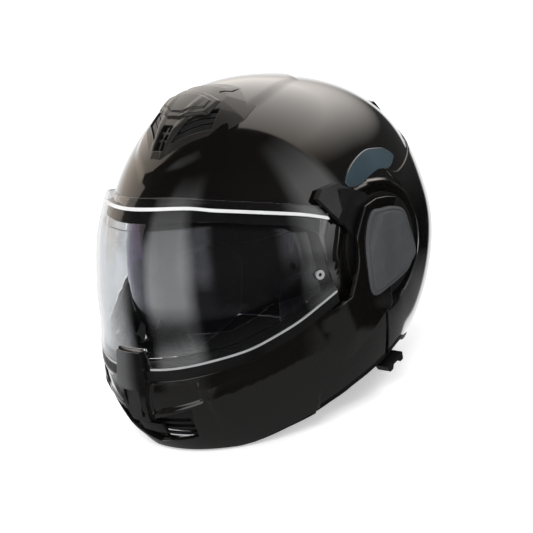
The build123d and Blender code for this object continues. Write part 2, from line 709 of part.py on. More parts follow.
# Chin bar
def bar_zone():
    sill = [(fwd, up - SILL_DEPTH) for fwd, up in scaled(sill_shares, BAR_REACH)]
    outline = arm_front_shares + arm_back_shares + bar_rear_shares + bar_bottom_shares
    outline = scaled(outline, BAR_REACH) + [(bar_bottom_shares[-1][0] * BAR_REACH, sill[0][1])] + sill
    return side_prism(outline, -WIDE, WIDE)


def front_cut(shares, back=0.0):
    return front_prism(mirrored(scaled(shares, BAR_REACH)), back, FAR)


def button_body(grow=0.0, back=BUTTON_BACK, front=BUTTON_FACE):
    points = [(side + grow, up + grow * turn) for (side, up), turn in zip(scaled(button_shares, BAR_REACH), (1, -1))]
    return front_prism(mirrored(points), back, front)


def bar_panels():
    skin = form - bar_form(PANEL_DEPTH, PANEL_DEPTH)
    side = front_prism(scaled(panel_shares, BAR_REACH), 0, FAR)
    return skin & (side + other_side(side))


def chin_bar():
    body = cut_both((form - bar_inner) & bar_zone(), hinge_disc(BAR_ARM_CLEAR_RADIUS, 0, BAR_ARM_NEAR))
    plate = scaled(arm_front_shares + arm_back_shares + arm_foot_shares, BAR_REACH)
    plate = side_prism(plate, BAR_ARM_NEAR, BAR_ARM_FAR)
    body = body + plate + other_side(plate)
    body = cut_both(body, hinge_disc(PIN_RADIUS + PIN_CLEARANCE, 0, WIDE))
    body = body - front_cut(vent_shares) - bar_panels()
    return body - button_body(SLIDE_GAP, 0, FAR)


bar = chin_bar()
save("chin_bar", bar)


def sill_seal():
    line = scaled(sill_shares, BAR_REACH)
    low = [(fwd, up - SILL_DEPTH) for fwd, up in line]
    edge = [(fwd, up - SLIDE_GAP) for fwd, up in reversed(line)]
    lip = [(fwd, up + SILL_LIP) for fwd, up in reversed(line)]
    inner = bar_form(SILL_SEAL_WALL)
    skirt = (bar_form(SEAT_GAP) - inner) & side_prism(low + edge, -WIDE, WIDE)
    tuck = (bar_form(SHIELD_WALL + SHIELD_SEAL_GAP) - inner) & side_prism(low + lip, -WIDE, WIDE)
    return skirt + tuck


seal = sill_seal()
save("sill_seal", seal)


def release_housing():
    layer = (bar_form(-HOUSING_RISE) - bar_form(SHIELD_WALL + SHIELD_SEAL_GAP)) & front_cut(housing_shares)
    return layer - bar - seal - button_body(SLIDE_GAP, 0, FAR)


save("release_housing", release_housing())
save("release_button", button_body())


def grille():
    plate = (bar_form(GRILLE_DEPTH) - bar_form(GRILLE_DEPTH + GRILLE_THICKNESS)) & front_cut(vent_shares)
    top = vent_shares[0][1] * BAR_REACH
    for index in range(GRILLE_COUNT):
        low = top - (index + 1) * GRILLE_STEP + GRILLE_BAR / 2
        slot = [(GRILLE_STEP, low), (BAR_REACH, low), (BAR_REACH, low + GRILLE_STEP - GRILLE_BAR),
                (GRILLE_STEP, low + GRILLE_STEP - GRILLE_BAR)]
        plate = cut_both(plate, front_prism(slot, 0, FAR) & slab(vent_shares[2][0] * BAR_REACH - GRILLE_BAR))
    return plate


def chin_shutter():
    layer = bar_form(CHIN_SHUTTER_DEPTH) - bar_form(GRILLE_DEPTH - CHIN_SHUTTER_GAP)
    return layer & front_cut(chin_shutter_shares)


save("chin_grille", grille())
save("chin_vent_shutter", chin_shutter())


def chin_edge_strip():
    line = scaled(bar_bottom_shares, BAR_REACH)
    low = [(fwd, up - BAR_STRIP_DROP) for fwd, up in reversed(line)]
    layer = bar_form(SHIELD_WALL) - bar_form(BAR_FRONT_WALL, 2 * BAR_SIDE_WALL)
    return (layer & side_prism(line + low, -WIDE, WIDE)) - floor_block


save("chin_edge_strip", chin_edge_strip())


def bar_foam():
    inner = bar_form(BAR_FRONT_WALL + BAR_FOAM_THICKNESS, BAR_SIDE_WALL + BAR_FOAM_THICKNESS)
    layer = bar_form(BAR_FRONT_WALL + SEAT_GAP, BAR_SIDE_WALL + SEAT_GAP) - inner
    low = bar_bottom_shares[1][1] * BAR_REACH + BAR_STRIP_DROP
    high = sill_shares[0][1] * BAR_REACH - BAR_FOAM_DROP
    zone = [(BAR_FOAM_BACK, low), (FAR, low), (FAR, high), (BAR_FOAM_BACK, high)]
    foam = layer & side_prism(zone, -WIDE, WIDE)
    return foam - button_body(SLIDE_GAP + SEAT_GAP, BUTTON_BACK - 2 * BUTTON_TRAVEL, FAR)


save("chin_foam", bar_foam())


def breath_guard():
    wall = BAR_FRONT_WALL + BAR_FOAM_THICKNESS + SEAT_GAP
    side = BAR_SIDE_WALL + BAR_FOAM_THICKNESS + SEAT_GAP
    layer = bar_form(wall, side) - bar_form(wall + GUARD_THICKNESS, side + GUARD_THICKNESS)
    return layer & front_cut(guard_shares)


save("breath_guard", breath_guard())


def chin_curtain():
    top = bar_bottom_shares[1][1] * BAR_REACH + BAR_STRIP_DROP - SEAT_GAP
    sheet = plan_prism(mirrored(scaled(curtain_shares, BAR_REACH)), top - CURTAIN_THICKNESS, top)
    return sheet & bar_form(BAR_FRONT_WALL + SEAT_GAP, BAR_SIDE_WALL + SEAT_GAP)


save("chin_curtain", chin_curtain())


def side_cover():
    body = side_prism(scaled(cover_shares, BAR_REACH), BAR_ARM_FAR, COVER_FACE)
    body = chamfer(body.edges().group_by(Axis.X)[-1], COVER_BEVEL)
    return body - hinge_disc(CAP_RADIUS + SLIDE_GAP, 0, PIN_END + CAP_THICKNESS + PIN_END_GAP)


save_pair("side_cover", side_cover())


# Latches: a pin on each side of the shell and a notched catch inside the chin bar
def latch_striker():
    plate = side_prism(latch_plate_outline(), LATCH_PLATE_INNER, SHELL_HALF_WIDTH)
    trim = side_prism(latch_plate_outline(), LATCH_PLATE_OUTER, SHELL_HALF_WIDTH) & face_port(-LATCH_TRIM_GAP)
    pin = disc(LATCH_PIN_RADIUS, LATCH_PLATE_INNER, LATCH_PIN_END, LATCH_FWD, LATCH_UP)
    return ((plate & crown_inner) - trim) + pin


def catch():
    reach = math.hypot(LATCH_FWD + HINGE_SETBACK, LATCH_UP)
    rise = ((-LATCH_UP) / reach, (LATCH_FWD + HINGE_SETBACK) / reach)

    def turned(points):
        return [(LATCH_FWD + a * rise[0] - b * rise[1], LATCH_UP + a * rise[1] + b * rise[0]) for a, b in points]

    size = CATCH_SIZE
    block = turned([(-size, -size), (size, -size), (size, size), (-size, size)])
    slot_half = LATCH_PIN_RADIUS + SLIDE_GAP
    slot = turned([(-2 * size, -slot_half), (0, -slot_half), (0, slot_half), (-2 * size, slot_half)])
    near = LATCH_PLATE_OUTER + SLIDE_GAP
    body = side_prism(block, near, WIDE) & bar_form(BAR_FRONT_WALL, BAR_SIDE_WALL)
    return body - side_prism(slot, near, WIDE) - disc(slot_half, near, WIDE, LATCH_FWD, LATCH_UP)


striker = latch_striker()
save("latch_strikers", striker, other_side(striker))
hook = catch()
save("latch_catches", hook, other_side(hook))


# Face shield, with an arm on each side and an anti-fog lens inside
lens_pin_place = [share * BAR_REACH for share in lens_pin_shares]


def lens_pin():
    pin = disc(LENS_PIN_RADIUS, LENS_PIN_NEAR, WIDE, *lens_pin_place)
    return pin & (bar_form(-LENS_PIN_PROUD) - bar_form(SHIELD_WALL + LENS_PIN_RADIUS))


shield_outline = scaled(sill_shares + shield_back_shares + shield_top_shares, BAR_REACH)
pin_left = lens_pin()
pin_hole = disc(LENS_PIN_RADIUS, LENS_PIN_NEAR, WIDE, *lens_pin_place)


def face_shield():
    body = (form - shield_inner) & side_prism(shield_outline, -WIDE, WIDE)
    return cut_both(body, pin_hole) - front_cut(notch_shares)


def shield_arm():
    ring = hinge_disc(SHIELD_RING_RADIUS, SHIELD_ARM_NEAR, SHIELD_ARM_FAR)
    link = side_prism(scaled(link_shares, BAR_REACH), SHIELD_ARM_NEAR, SHIELD_ARM_FAR)
    knuckle = side_prism(scaled(knuckle_shares, BAR_REACH), KNUCKLE_NEAR, SHIELD_ARM_FAR)
    body = ring + link + ((knuckle & bar_form(-KNUCKLE_RISE)) - form)
    return body - hinge_disc(PIN_RADIUS + PIN_CLEARANCE, 0, WIDE)


def anti_fog_lens():
    layer = bar_form(SHIELD_WALL + LENS_GAP) - bar_form(SHIELD_WALL + LENS_GAP + LENS_THICKNESS)
    low = [(fwd, up + SILL_DEPTH) for fwd, up in scaled(sill_shares, BAR_REACH) if fwd > lens_back_share * BAR_REACH]
    high = [(fwd, up - SILL_LIP) for fwd, up in scaled(port_top_shares, SHELL_REACH)
            if fwd > lens_back_share * BAR_REACH]
    edge = [(lens_back_share * BAR_REACH, low[-1][1]), (lens_back_share * BAR_REACH, high[-1][1])]
    body = layer & side_prism(low + edge + list(reversed(high)), -WIDE, WIDE)
    body = cut_both(body, disc(LENS_PIN_RADIUS + SLIDE_GAP, LENS_PIN_NEAR, WIDE, *lens_pin_place))
    return body - front_cut(notch_shares)


save("face_shield", face_shield())
save_pair("shield_arm", shield_arm())
save("anti_fog_lens", anti_fog_lens())
save("lens_pins", pin_left, other_side(pin_left))
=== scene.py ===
import bpy
import bmesh
import json
import math
import numpy as np
from mathutils import Matrix, Vector


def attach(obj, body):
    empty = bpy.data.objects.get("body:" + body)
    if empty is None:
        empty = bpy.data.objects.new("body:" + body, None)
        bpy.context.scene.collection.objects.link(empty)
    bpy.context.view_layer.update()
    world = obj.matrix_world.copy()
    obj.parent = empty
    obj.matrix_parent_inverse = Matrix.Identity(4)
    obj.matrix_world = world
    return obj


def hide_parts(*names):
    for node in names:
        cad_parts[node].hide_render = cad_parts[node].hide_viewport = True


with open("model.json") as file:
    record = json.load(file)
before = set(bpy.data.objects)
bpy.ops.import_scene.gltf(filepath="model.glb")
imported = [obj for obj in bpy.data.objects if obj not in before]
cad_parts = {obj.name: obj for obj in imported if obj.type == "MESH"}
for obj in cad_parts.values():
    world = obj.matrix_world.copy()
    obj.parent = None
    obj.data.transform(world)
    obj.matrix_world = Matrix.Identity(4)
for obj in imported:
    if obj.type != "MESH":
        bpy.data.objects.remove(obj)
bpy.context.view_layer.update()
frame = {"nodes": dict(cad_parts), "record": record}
nodes = frame["nodes"]
scene = bpy.context.scene
scene.view_settings.view_transform = "Standard"

# Sizes in millimetres, and where the drawing frame sits in the row frame
SHELL_REACH, SHELL_HALF = 160.0, 121.5
BAR_REACH, BAR_HALF = 180.0, 129.0
SUN_REACH, SUN_HALF, SUN_FWD, SUN_UP = 137.0, 99.0, 8.0, -6.0
BOSS_FACE, BOSS_RADIUS, ARM_FACE = 116.0, 54.0, 127.4
HINGE_FWD = -6.0
LEAN, SETBACK, HEIGHT = math.radians(1.5), 13.9, 131.0
MM = 0.001
UNIT = 100.0
NEAR_POLE = math.radians(87.5)
FAR, HIDDEN = 400.0, -50.0
SIDES = ((1, "left"), (-1, "right"))

# Walls, lifts and reliefs of the pieces, in millimetres; pairs are where a change begins and ends
PAINT_WALL, SHIELD_WALL, SUN_WALL = 4.0, 2.2, 2.0
SHELL_MARGIN, RIM_TOP, RIM_FOOT, RIM_WALL, RIM_EDGE, RIM_LIFT = 4.0, 3.6, 0.4, 6.0, 0.9, 0.4
SKIRT_EASE, SKIRT_SPREAD, SKIRT_FADE, SKIRT_STEP = 1.6, 26, (30, 70), (-0.3, 0.8)
BAND_RISE, BAND_EASE, BAND_FADE = 2.0, (-7, 2.5), (20, 60)
ARM_EASE, PANEL_SINK, PANEL_EDGE, BUTTON_GAP, SILL_DROP = (-30, 3), 1.8, 0.8, 0.6, 9
CREASE_RISE, CREASE_BELOW, CREASE_ABOVE, CREASE_SIDE, CREASE_AHEAD = 3.0, 42, 11, (56, 62), (60, 84)
CRESCENT_LIFT, CRESCENT_WALL, CRESCENT_EDGE = 1.6, 2.2, 0.9
SCOOP_WALL, SCOOP_EDGE, SCOOP_LIFT, SCOOP_SLOPE = 7.0, 0.7, 0.25, 20.0
SCOOP_RIDGE, SCOOP_RIDGE_HALF, SCOOP_RIDGE_IN, SCOOP_RIDGE_AHEAD = 0.9, 5.0, (4, 12), (60, 80)
SLAT_COUNT, SLAT_START, SLAT_PITCH, SLAT_WIDE, SLAT_LONG, SLAT_OVER = 3, 1.6, 4.4, 2.9, 52, 8
SLAT_WALL, SLAT_EDGE, SLAT_SINK = 5.0, 0.5, 1.4
RIB_WALL, RIB_EDGE, RIB_SINK = 4.5, 0.3, 1.6
SLIDER_WALL, SLIDER_EDGE, SLIDER_LIFT, SLIDER_STEP = 2.4, 0.4, 0.9, 1.2
COVER_FACE, COVER_WALL, COVER_EDGE, COVER_BEVEL, COVER_RISE = 128.6, 2.6, 0.5, 1.6, 1.4
FACET_AT, FACET_WAY = (-2.4, 31.1), (31.3, 25.2)
PAD_VOXEL, PAD_WAVES = 0.004, ((2, 0.045, 0.35), (1, 0.06, 0.25))
STRAP_FWD, STRAP_WIDE, STRAP_THICK = 40.0, 24.0, 2.0
CURTAIN_UP, CURTAIN_THICK, CURTAIN_REACH, CURTAIN_EDGE = -117.6, 1.4, 75.0, 0.3
LENS_HOLE, PIN_FWD, PIN_UP = 3.6, 0.389, -0.006

# Share tables of the forms: angle up from straight ahead, and the share of the reach
crown_shares = {
    -80: 1.187, -55: 1.139, -30: 1.098, -10: 1.053, 10: 1.030, 26: 1.008, 45: 0.960, 65: 0.931,
    85: 0.886, 105: 0.865, 125: 0.900, 145: 0.948, 165: 0.965, 185: 1.000, 205: 1.010, 230: 1.020,
    250: 1.035, 268: 1.120,
}
skirt_shares = {
    -80: 1.160, -55: 1.110, -30: 1.070, -10: 1.020, 10: 0.990, 26: 0.980, 45: 0.940, 65: 0.910,
    85: 0.860, 105: 0.850, 125: 0.900, 145: 0.958, 165: 0.980, 185: 1.022, 205: 1.030, 230: 1.033,
    250: 1.044, 268: 1.120,
}
bar_shares = {
    -80: 1.122, -60: 1.139, -48: 1.150, -40: 1.156, -34: 1.146, -28: 1.133, -21: 1.100, -14: 1.044,
    -5: 1.011, 5: 0.989, 15: 0.976, 28: 0.950, 45: 0.922, 75: 0.890, 120: 0.880, 165: 0.900,
    210: 0.980, 250: 1.080,
}
scoop_shares = {
    -80: 1.000, -55: 1.000, -30: 1.000, -10: 1.000, 10: 1.000, 26: 1.026, 45: 1.002, 65: 0.974,
    85: 0.908, 105: 0.874, 125: 0.880, 145: 0.900, 165: 0.900, 185: 0.950, 205: 0.950, 230: 0.950,
    250: 0.950, 268: 1.000,
}
crown_fullness = {
    -92: 2.7, -55: 2.4, -30: 2.1, 0: 1.8, 26: 1.8, 45: 1.93, 90: 2.05, 140: 2.1, 240: 2.05, 268: 2.7,
}
bar_fullness = {-110: 2.5, -60: 2.45, -40: 2.1, -20: 1.85, 5: 1.75, 60: 1.75, 180: 2.0, 250: 2.5}
sun_fullness = {-90: 2.05, 270: 2.05}

# Side-view outlines, as (fwd, up) shares of the shell's reach
rim_line = [
    (0.49, -0.79), (0.44, -0.77), (0.375, -0.737), (0.294, -0.706), (0.20, -0.670), (-0.125, -0.585),
    (-0.25, -0.613), (-0.375, -0.656), (-0.50, -0.706), (-0.62, -0.765), (-0.70, -0.812), (-0.85, -0.86),
]
port_line = [
    (1.44, 0.38), (0.94, 0.375), (0.80, 0.355), (0.64, 0.306), (0.45, 0.244), (0.37, 0.19),
    (0.35, 0.0), (0.35, -0.16), (0.38, -0.37), (0.465, -0.54), (0.515, -0.66), (0.53, -0.80),
]
skirt_zone = [
    (-0.22, 0.345), (-0.32, 0.31), (-0.61, 0.35), (-1.25, 0.45), (-1.25, -1.2), (-0.10, -1.2),
    (-0.20, -0.30), (-0.34, -0.10), (-0.36, 0.12),
]

# Side-view outlines, as (fwd, up) shares of the bar's reach
sill_line = [
    (1.12, -0.306), (1.00, -0.306), (0.944, -0.30), (0.85, -0.283), (0.733, -0.261), (0.633, -0.228),
    (0.522, -0.189), (0.417, -0.144), (0.322, -0.106),
]
arm_front = [(0.273, -0.153), (0.196, -0.028), (0.18, 0.048), (0.173, 0.116), (0.10, 0.225)]
arm_back = [
    (0.017, 0.237), (-0.072, 0.22), (-0.178, 0.179), (-0.247, 0.143), (-0.273, 0.038), (-0.25, -0.077),
    (-0.198, -0.139), (-0.072, -0.225), (0.125, -0.327),
]
bar_rear = [(0.239, -0.389), (0.328, -0.444), (0.389, -0.483), (0.433, -0.528), (0.458, -0.567)]
bar_bottom = [(0.455, -0.64), (0.57, -0.672), (0.66, -0.705), (0.77, -0.737), (1.30, -0.737)]
shield_back = [(0.339, -0.039), (0.344, 0.028), (0.339, 0.094), (0.322, 0.156), (0.289, 0.211)]
shield_top = [(0.278, 0.267), (0.383, 0.311), (0.522, 0.356), (0.689, 0.406), (0.811, 0.439), (1.12, 0.45)]
notch = [(0.08, -0.21), (0.11, -0.31), (0.11, -0.42)]
panel = [(0.106, -0.37), (0.30, -0.365), (0.30, -0.465), (0.062, -0.525)]
vent = [(0.05, -0.55), (0.256, -0.495), (0.222, -0.66), (0.0, -0.705)]
crease = [(0.40, -0.33), (0.544, -0.35), (0.672, -0.389), (0.789, -0.422), (0.878, -0.456), (1.1, -0.47)]
button = [(0.045, -0.40), (0.035, -0.53)]

# Plan outlines of the crown vent and the raised band behind it, as (side, fwd) shares of the shell's reach
nose_mouth = [(0.038, 0.735), (0.038, 0.61)]
side_mouth = [(0.056, 0.70), (0.222, 0.552), (0.20, 0.43), (0.09, 0.565)]
tail_mouth = [(0.125, 0.345), (0.165, 0.29), (0.155, 0.20), (0.145, 0.20), (0.15, 0.285), (0.11, 0.335)]
scoop_plan = [(0.05, 0.80), (0.25, 0.60), (0.31, 0.40), (0.295, 0.28), (0.15, 0.165)]
slider_plan = [(0.04, 0.575), (0.175, 0.50), (0.178, 0.40), (0.05, 0.375)]
sun_lens = [
    (0.66, 0.66), (0.17, 0.14), (0.08, 0.13), (-0.11, 0.05), (-0.11, -0.06), (0.0, -0.11), (0.30, -0.10),
    (0.62, -0.12), (0.80, -0.235), (1.2, -0.235), (1.2, 0.66),
]
sun_nose = [(0.0, -0.14), (0.10, -0.25), (0.14, -0.40)]
crescent = [
    (0.12, 0.369), (0.07, 0.42), (-0.012, 0.456), (-0.119, 0.475), (-0.206, 0.463), (-0.288, 0.438),
    (-0.338, 0.394), (-0.325, 0.381), (-0.25, 0.356), (-0.156, 0.375), (-0.056, 0.363), (0.055, 0.345),
]
cover = [
    (0.072, 0.19), (-0.002, 0.188), (-0.074, 0.176), (-0.154, 0.139), (-0.182, 0.068), (-0.209, -0.072),
    (-0.167, -0.122), (-0.122, -0.152), (-0.002, -0.179), (0.13, -0.182), (0.144, -0.048), (0.13, 0.09),
]
band = [(0.03, 0.80), (0.21, 0.63), (0.262, 0.44), (0.262, 0.19), (0.20, -0.05), (0.14, -0.20), (0.0, -0.30)]


# Curves and fields that the outlines are made of
def periodic(table):
    """Values of a smooth closed curve through an angle table, each quarter of a degree."""
    angles = np.array(sorted(table), float)
    values = np.array([table[a] for a in sorted(table)], float)
    gap = np.diff(np.append(angles, angles[0] + 360))
    n = len(angles)
    system, right = np.zeros((n, n)), np.zeros(n)
    for i in range(n):
        before, after = gap[i - 1], gap[i]
        system[i, (i - 1) % n] += before
        system[i, i] += 2 * (before + after)
        system[i, (i + 1) % n] += after
        right[i] = 6 * ((values[(i + 1) % n] - values[i]) / after - (values[i] - values[i - 1]) / before)
    bend = np.linalg.solve(system, right)
    at = np.arange(-100, 281, 0.25)
    turned = (at - angles[0]) % 360 + angles[0]
    cell = np.clip(np.searchsorted(angles, turned, "right") - 1, 0, n - 1)
    nxt = (cell + 1) % n
    h, b = gap[cell], turned - angles[cell]
    a = h - b
    value = (bend[cell] * a ** 3 + bend[nxt] * b ** 3) / (6 * h)
    value = value + (values[cell] / h - bend[cell] * h / 6) * a + (values[nxt] / h - bend[nxt] * h / 6) * b
    return at, value


def softened(table, width=5.0):
    """An angle table on straight lines, with its corners smoothed."""
    at = np.arange(-130, 311, 0.25)
    keys = sorted(table)
    value = np.interp(at, keys, [table[k] for k in keys])
    reach = np.arange(-3 * width, 3 * width + 0.25, 0.25)
    kernel = np.exp(-(reach / width) ** 2 / 2)
    return at, np.convolve(np.pad(value, len(kernel) // 2, "edge"), kernel / kernel.sum(), "valid")


def rounded(points, steps=6, closed=True):
    """Points on a smooth curve through the given ones."""
    p = np.array(points, float)
    n = len(p)
    out = []
    for i in range(n if closed else n - 1):
        if closed:
            a, b, c, d = p[(i - 1) % n], p[i], p[(i + 1) % n], p[(i + 2) % n]
        else:
            a, b, c, d = p[max(i - 1, 0)], p[i], p[i + 1], p[min(i + 2, n - 1)]
        for t in np.arange(steps) / steps:
            out.append(0.5 * (2 * b + (c - a) * t + (2 * a - 5 * b + 4 * c - d) * t ** 2
                              + (3 * b - a - 3 * c + d) * t ** 3))
    if not closed:
        out.append(p[-1])
    return np.array(out)


def scaled(points, size):
    return [(a * size, b * size) for a, b in points]


def mirrored(points):
    return list(points) + [(-a, b) for a, b in reversed(points)]


def depth_in(a, b, outline):
    """How far the points (a, b) lie inside a closed outline, in millimetres; less than zero outside."""
    o = np.asarray(outline, float)
    inside = np.zeros(a.shape, bool)
    nearest = np.full(a.shape, 1e9)
    for (x0, y0), (x1, y1) in zip(o, np.roll(o, -1, 0)):
        ex, ey = x1 - x0, y1 - y0
        length = ex * ex + ey * ey
        if length < 1e-12:
            continue
        t = np.clip(((a - x0) * ex + (b - y0) * ey) / length, 0, 1)
        nearest = np.minimum(nearest, (a - x0 - t * ex) ** 2 + (b - y0 - t * ey) ** 2)
        if y0 != y1:
            crosses = (y0 > b) != (y1 > b)
            inside ^= crosses & (a < x0 + (b - y0) * ex / ey)
    return np.where(inside, 1.0, -1.0) * np.sqrt(nearest)


def ease(value, low, high):
    t = np.clip((value - low) / (high - low), 0, 1)
    return t * t * (3 - 2 * t)


# Forms: smooth egg-like surfaces, sampled on angle and side
class Form:
    def __init__(self, reach, shares, half, fullness, grow=0.0, side_grow=None, fwd=0.0, up=0.0, shape=None):
        self.at, share = periodic(shares)
        self.radius = reach * share + grow
        self.full_at, self.full = softened(fullness)
        self.half = half + (grow if side_grow is None else side_grow)
        self.fwd, self.up, self.shape = fwd, up, shape

    def base(self, turn, side):
        """Points x, fwd, up at angle turn and side angle, both in radians."""
        degrees = np.degrees(turn)
        radius = np.interp(degrees, self.at, self.radius)
        power = np.interp(degrees, self.full_at, self.full)
        soft = 0.10
        v = np.abs(np.sin(side))
        low, high = soft ** power, (1 + soft * soft) ** (power / 2)
        u = np.maximum(1 - ((v * v + soft * soft) ** (power / 2) - low) / (high - low), 0) ** (1 / power)
        x = self.half * np.sin(side)
        return np.stack([x, self.fwd + radius * u * np.cos(turn), self.up + radius * u * np.sin(turn)], -1)

    def points(self, uv):
        p = self.base(uv[:, 0], uv[:, 1])
        return self.shape(p, uv) if self.shape else p

    def normals(self, uv):
        step = 0.002
        u = np.array([step, 0.0])
        v = np.array([0.0, step])
        along = self.points(uv + u) - self.points(uv - u)
        across = self.points(uv + v) - self.points(uv - v)
        n = np.cross(along, across)
        size = np.linalg.norm(n, axis=1)
        n = n / np.maximum(size, 1e-9)[:, None]
        p = self.base(uv[:, 0], uv[:, 1]) - [0, self.fwd, self.up]
        n *= np.where((n * p).sum(1) < 0, -1.0, 1.0)[:, None]
        pole = np.abs(uv[:, 1]) > NEAR_POLE
        n[pole] = np.stack([np.sign(uv[pole, 1]), 0 * uv[pole, 1], 0 * uv[pole, 1]], -1)
        return n


def grid(low, high, turns, sides, left=-90, right=90):
    """A net of triangles over the angles of a form."""
    t = np.radians(np.linspace(low, high, turns + 1))
    s = np.radians(np.linspace(left, right, sides + 1))
    uv = np.stack(np.meshgrid(t, s, indexing="ij"), -1).reshape(-1, 2)
    i, j = np.meshgrid(np.arange(turns), np.arange(sides), indexing="ij")
    a = (i * (sides + 1) + j).ravel()
    b, c, d = a + 1, a + sides + 2, a + sides + 1
    return uv, np.concatenate([np.stack([a, b, c], -1), np.stack([a, c, d], -1)])


def cut(net, field, both=False):
    """Keeps the part of a net where the field is above zero, or keeps all of it with edges along the line."""
    uv, tri = net
    d = field(uv)
    d = np.where(np.abs(d) < 1e-4, 1e-4, d)
    positive = d[tri] > 0
    count = positive.sum(1)
    out = [tri[count == 3]] + ([tri[count == 0]] if both else [])
    pieces = []
    for number in (1, 2):
        t = tri[count == number]
        if not len(t):
            continue
        mask = positive[count == number] if number == 1 else ~positive[count == number]
        odd = np.argmax(mask, axis=1)
        k = np.arange(len(t))
        pieces.append((number, t[k, odd], t[k, (odd + 1) % 3], t[k, (odd + 2) % 3]))
    if not pieces:
        return compact(uv, np.concatenate(out))
    pairs = np.concatenate([np.stack([np.minimum(a, o), np.maximum(a, o)], -1)
                            for _, a, b, c in pieces for o in (b, c)])
    unique, back = np.unique(pairs, axis=0, return_inverse=True)
    back = back.ravel()
    share = d[unique[:, 0]] / (d[unique[:, 0]] - d[unique[:, 1]])
    fresh = uv[unique[:, 0]] + (uv[unique[:, 1]] - uv[unique[:, 0]]) * share[:, None]
    start = 0
    for number, a, b, c in pieces:
        n = len(a)
        ab, ac = len(uv) + back[start:start + n], len(uv) + back[start + n:start + 2 * n]
        start += 2 * n
        tip = [np.stack([a, ab, ac], -1)]
        base = [np.stack([ab, b, c], -1), np.stack([ab, c, ac], -1)]
        if number == 1:
            out += tip + (base if both else [])
        else:
            out += base + (tip if both else [])
    return compact(np.concatenate([uv, fresh]), np.concatenate(out))


def compact(uv, tri):
    used, back = np.unique(tri.ravel(), return_inverse=True)
    return uv[used], back.reshape(-1, 3)


def to_row(p):
    """Drawing-frame millimetres to row-frame metres."""
    y, z = -p[..., 1], p[..., 2]
    return np.stack([p[..., 0], y * math.cos(LEAN) + z * math.sin(LEAN) + SETBACK,
                     -y * math.sin(LEAN) + z * math.cos(LEAN) + HEIGHT], -1) * MM


def turn_row(n):
    y, z = -n[..., 1], n[..., 2]
    return np.stack([n[..., 0], y * math.cos(LEAN) + z * math.sin(LEAN),
                     -y * math.sin(LEAN) + z * math.cos(LEAN)], -1)


def mesh_object(name, points, faces, material, normals=None):
    """An object from row-frame points, faces of any size and, where given, a normal at each corner."""
    mesh = bpy.data.meshes.new(name)
    mesh.from_pydata([tuple(p) for p in points], [], [tuple(int(i) for i in f) for f in faces])
    mesh.materials.append(material)
    mesh.polygons.foreach_set("use_smooth", np.ones(len(mesh.polygons), bool))
    if normals is not None:
        mesh.normals_split_custom_set([tuple(n) for n in normals])
    mesh.update()
    obj = bpy.data.objects.new(name, mesh)
    scene.collection.objects.link(obj)
    return obj


def sheet_solid(name, form, net, wall, material, edge=0.8, lift=0.0):
    """A closed shell of one thickness whose outer face follows a form, with its edges rounded."""
    uv, tri = net
    p, n = form.points(uv), form.normals(uv)
    first = p[tri[:, 0]]
    facing = np.einsum("ij,ij->i", np.cross(p[tri[:, 1]] - first, p[tri[:, 2]] - first), n[tri[:, 0]])
    tri = np.where(facing[:, None] < 0, tri[:, ::-1], tri)
    p = p + n * lift
    edges = np.concatenate([tri[:, [0, 1]], tri[:, [1, 2]], tri[:, [2, 0]]])
    key = np.minimum(edges[:, 0], edges[:, 1]) * len(uv) + np.maximum(edges[:, 0], edges[:, 1])
    _, index, number = np.unique(key, return_index=True, return_counts=True)
    rim = edges[index[number == 1]]
    along = p[rim[:, 1]] - p[rim[:, 0]]
    away = np.cross(along, n[rim[:, 0]])
    away /= np.maximum(np.linalg.norm(away, axis=1), 1e-9)[:, None]
    outward = np.zeros_like(p)
    np.add.at(outward, rim[:, 0], away)
    np.add.at(outward, rim[:, 1], away)
    ids = np.unique(rim)
    outward[ids] /= np.maximum(np.linalg.norm(outward[ids], axis=1), 1e-9)[:, None]
    slot_of = np.full(len(p), -1)
    slot_of[ids] = np.arange(len(ids))
    # Steps round the edge: shares of it outward and inward, and the turn of the normal in degrees
    rows = [(0.0, 0.0, 0.0), (0.5, 0.134, 30.0), (0.866, 0.5, 60.0), (1.0, 1.0, 90.0)]
    rings = [(p[ids] + outward[ids] * edge * a - n[ids] * edge * b,
              outward[ids] * math.sin(math.radians(t)) + n[ids] * math.cos(math.radians(t)))
             for a, b, t in rows]
    rings.append((p[ids] + outward[ids] * edge - n[ids] * (wall - edge), outward[ids]))
    rings.append((p[ids] + outward[ids] * edge * 0.3 - n[ids] * wall, -n[ids]))
    inner = p - n * wall
    points = [p, inner]
    at = [np.arange(len(p))[ids]]
    total = 2 * len(p)
    for ring, _ in rings[1:]:
        points.append(ring)
        at.append(total + np.arange(len(ids)))
        total += len(ids)
    at.append(len(p) + ids)
    ring_normals = [r[1] for r in rings] + [-n[ids]]
    faces = [tri, tri[:, ::-1] + len(p)]
    corner = [n[tri].reshape(-1, 3), -n[tri[:, ::-1]].reshape(-1, 3)]
    a, b = slot_of[rim[:, 0]], slot_of[rim[:, 1]]
    quads = []
    for level in range(len(at) - 1):
        quads.append(np.stack([at[level][b], at[level][a], at[level + 1][a], at[level + 1][b]], -1))
        corner.append(np.stack([ring_normals[level][b], ring_normals[level][a],
                                ring_normals[level + 1][a], ring_normals[level + 1][b]], 1).reshape(-1, 3))
    # The row frame is a mirror of the drawing frame, so every face is turned over
    everything = [f[::-1] for group in faces + quads for f in group]
    sizes = [3, 3] + [4] * len(quads)
    corner = [c.reshape(-1, size, 3)[:, ::-1].reshape(-1, 3) for c, size in zip(corner, sizes)]
    return mesh_object(name, to_row(np.concatenate(points)), everything, material,
                       turn_row(np.concatenate(corner)))


# Materials
def nodes_of(name):
    material = bpy.data.materials.new(name)
    material.use_nodes = True
    tree = material.node_tree
    return material, tree, tree.nodes["Principled BSDF"]


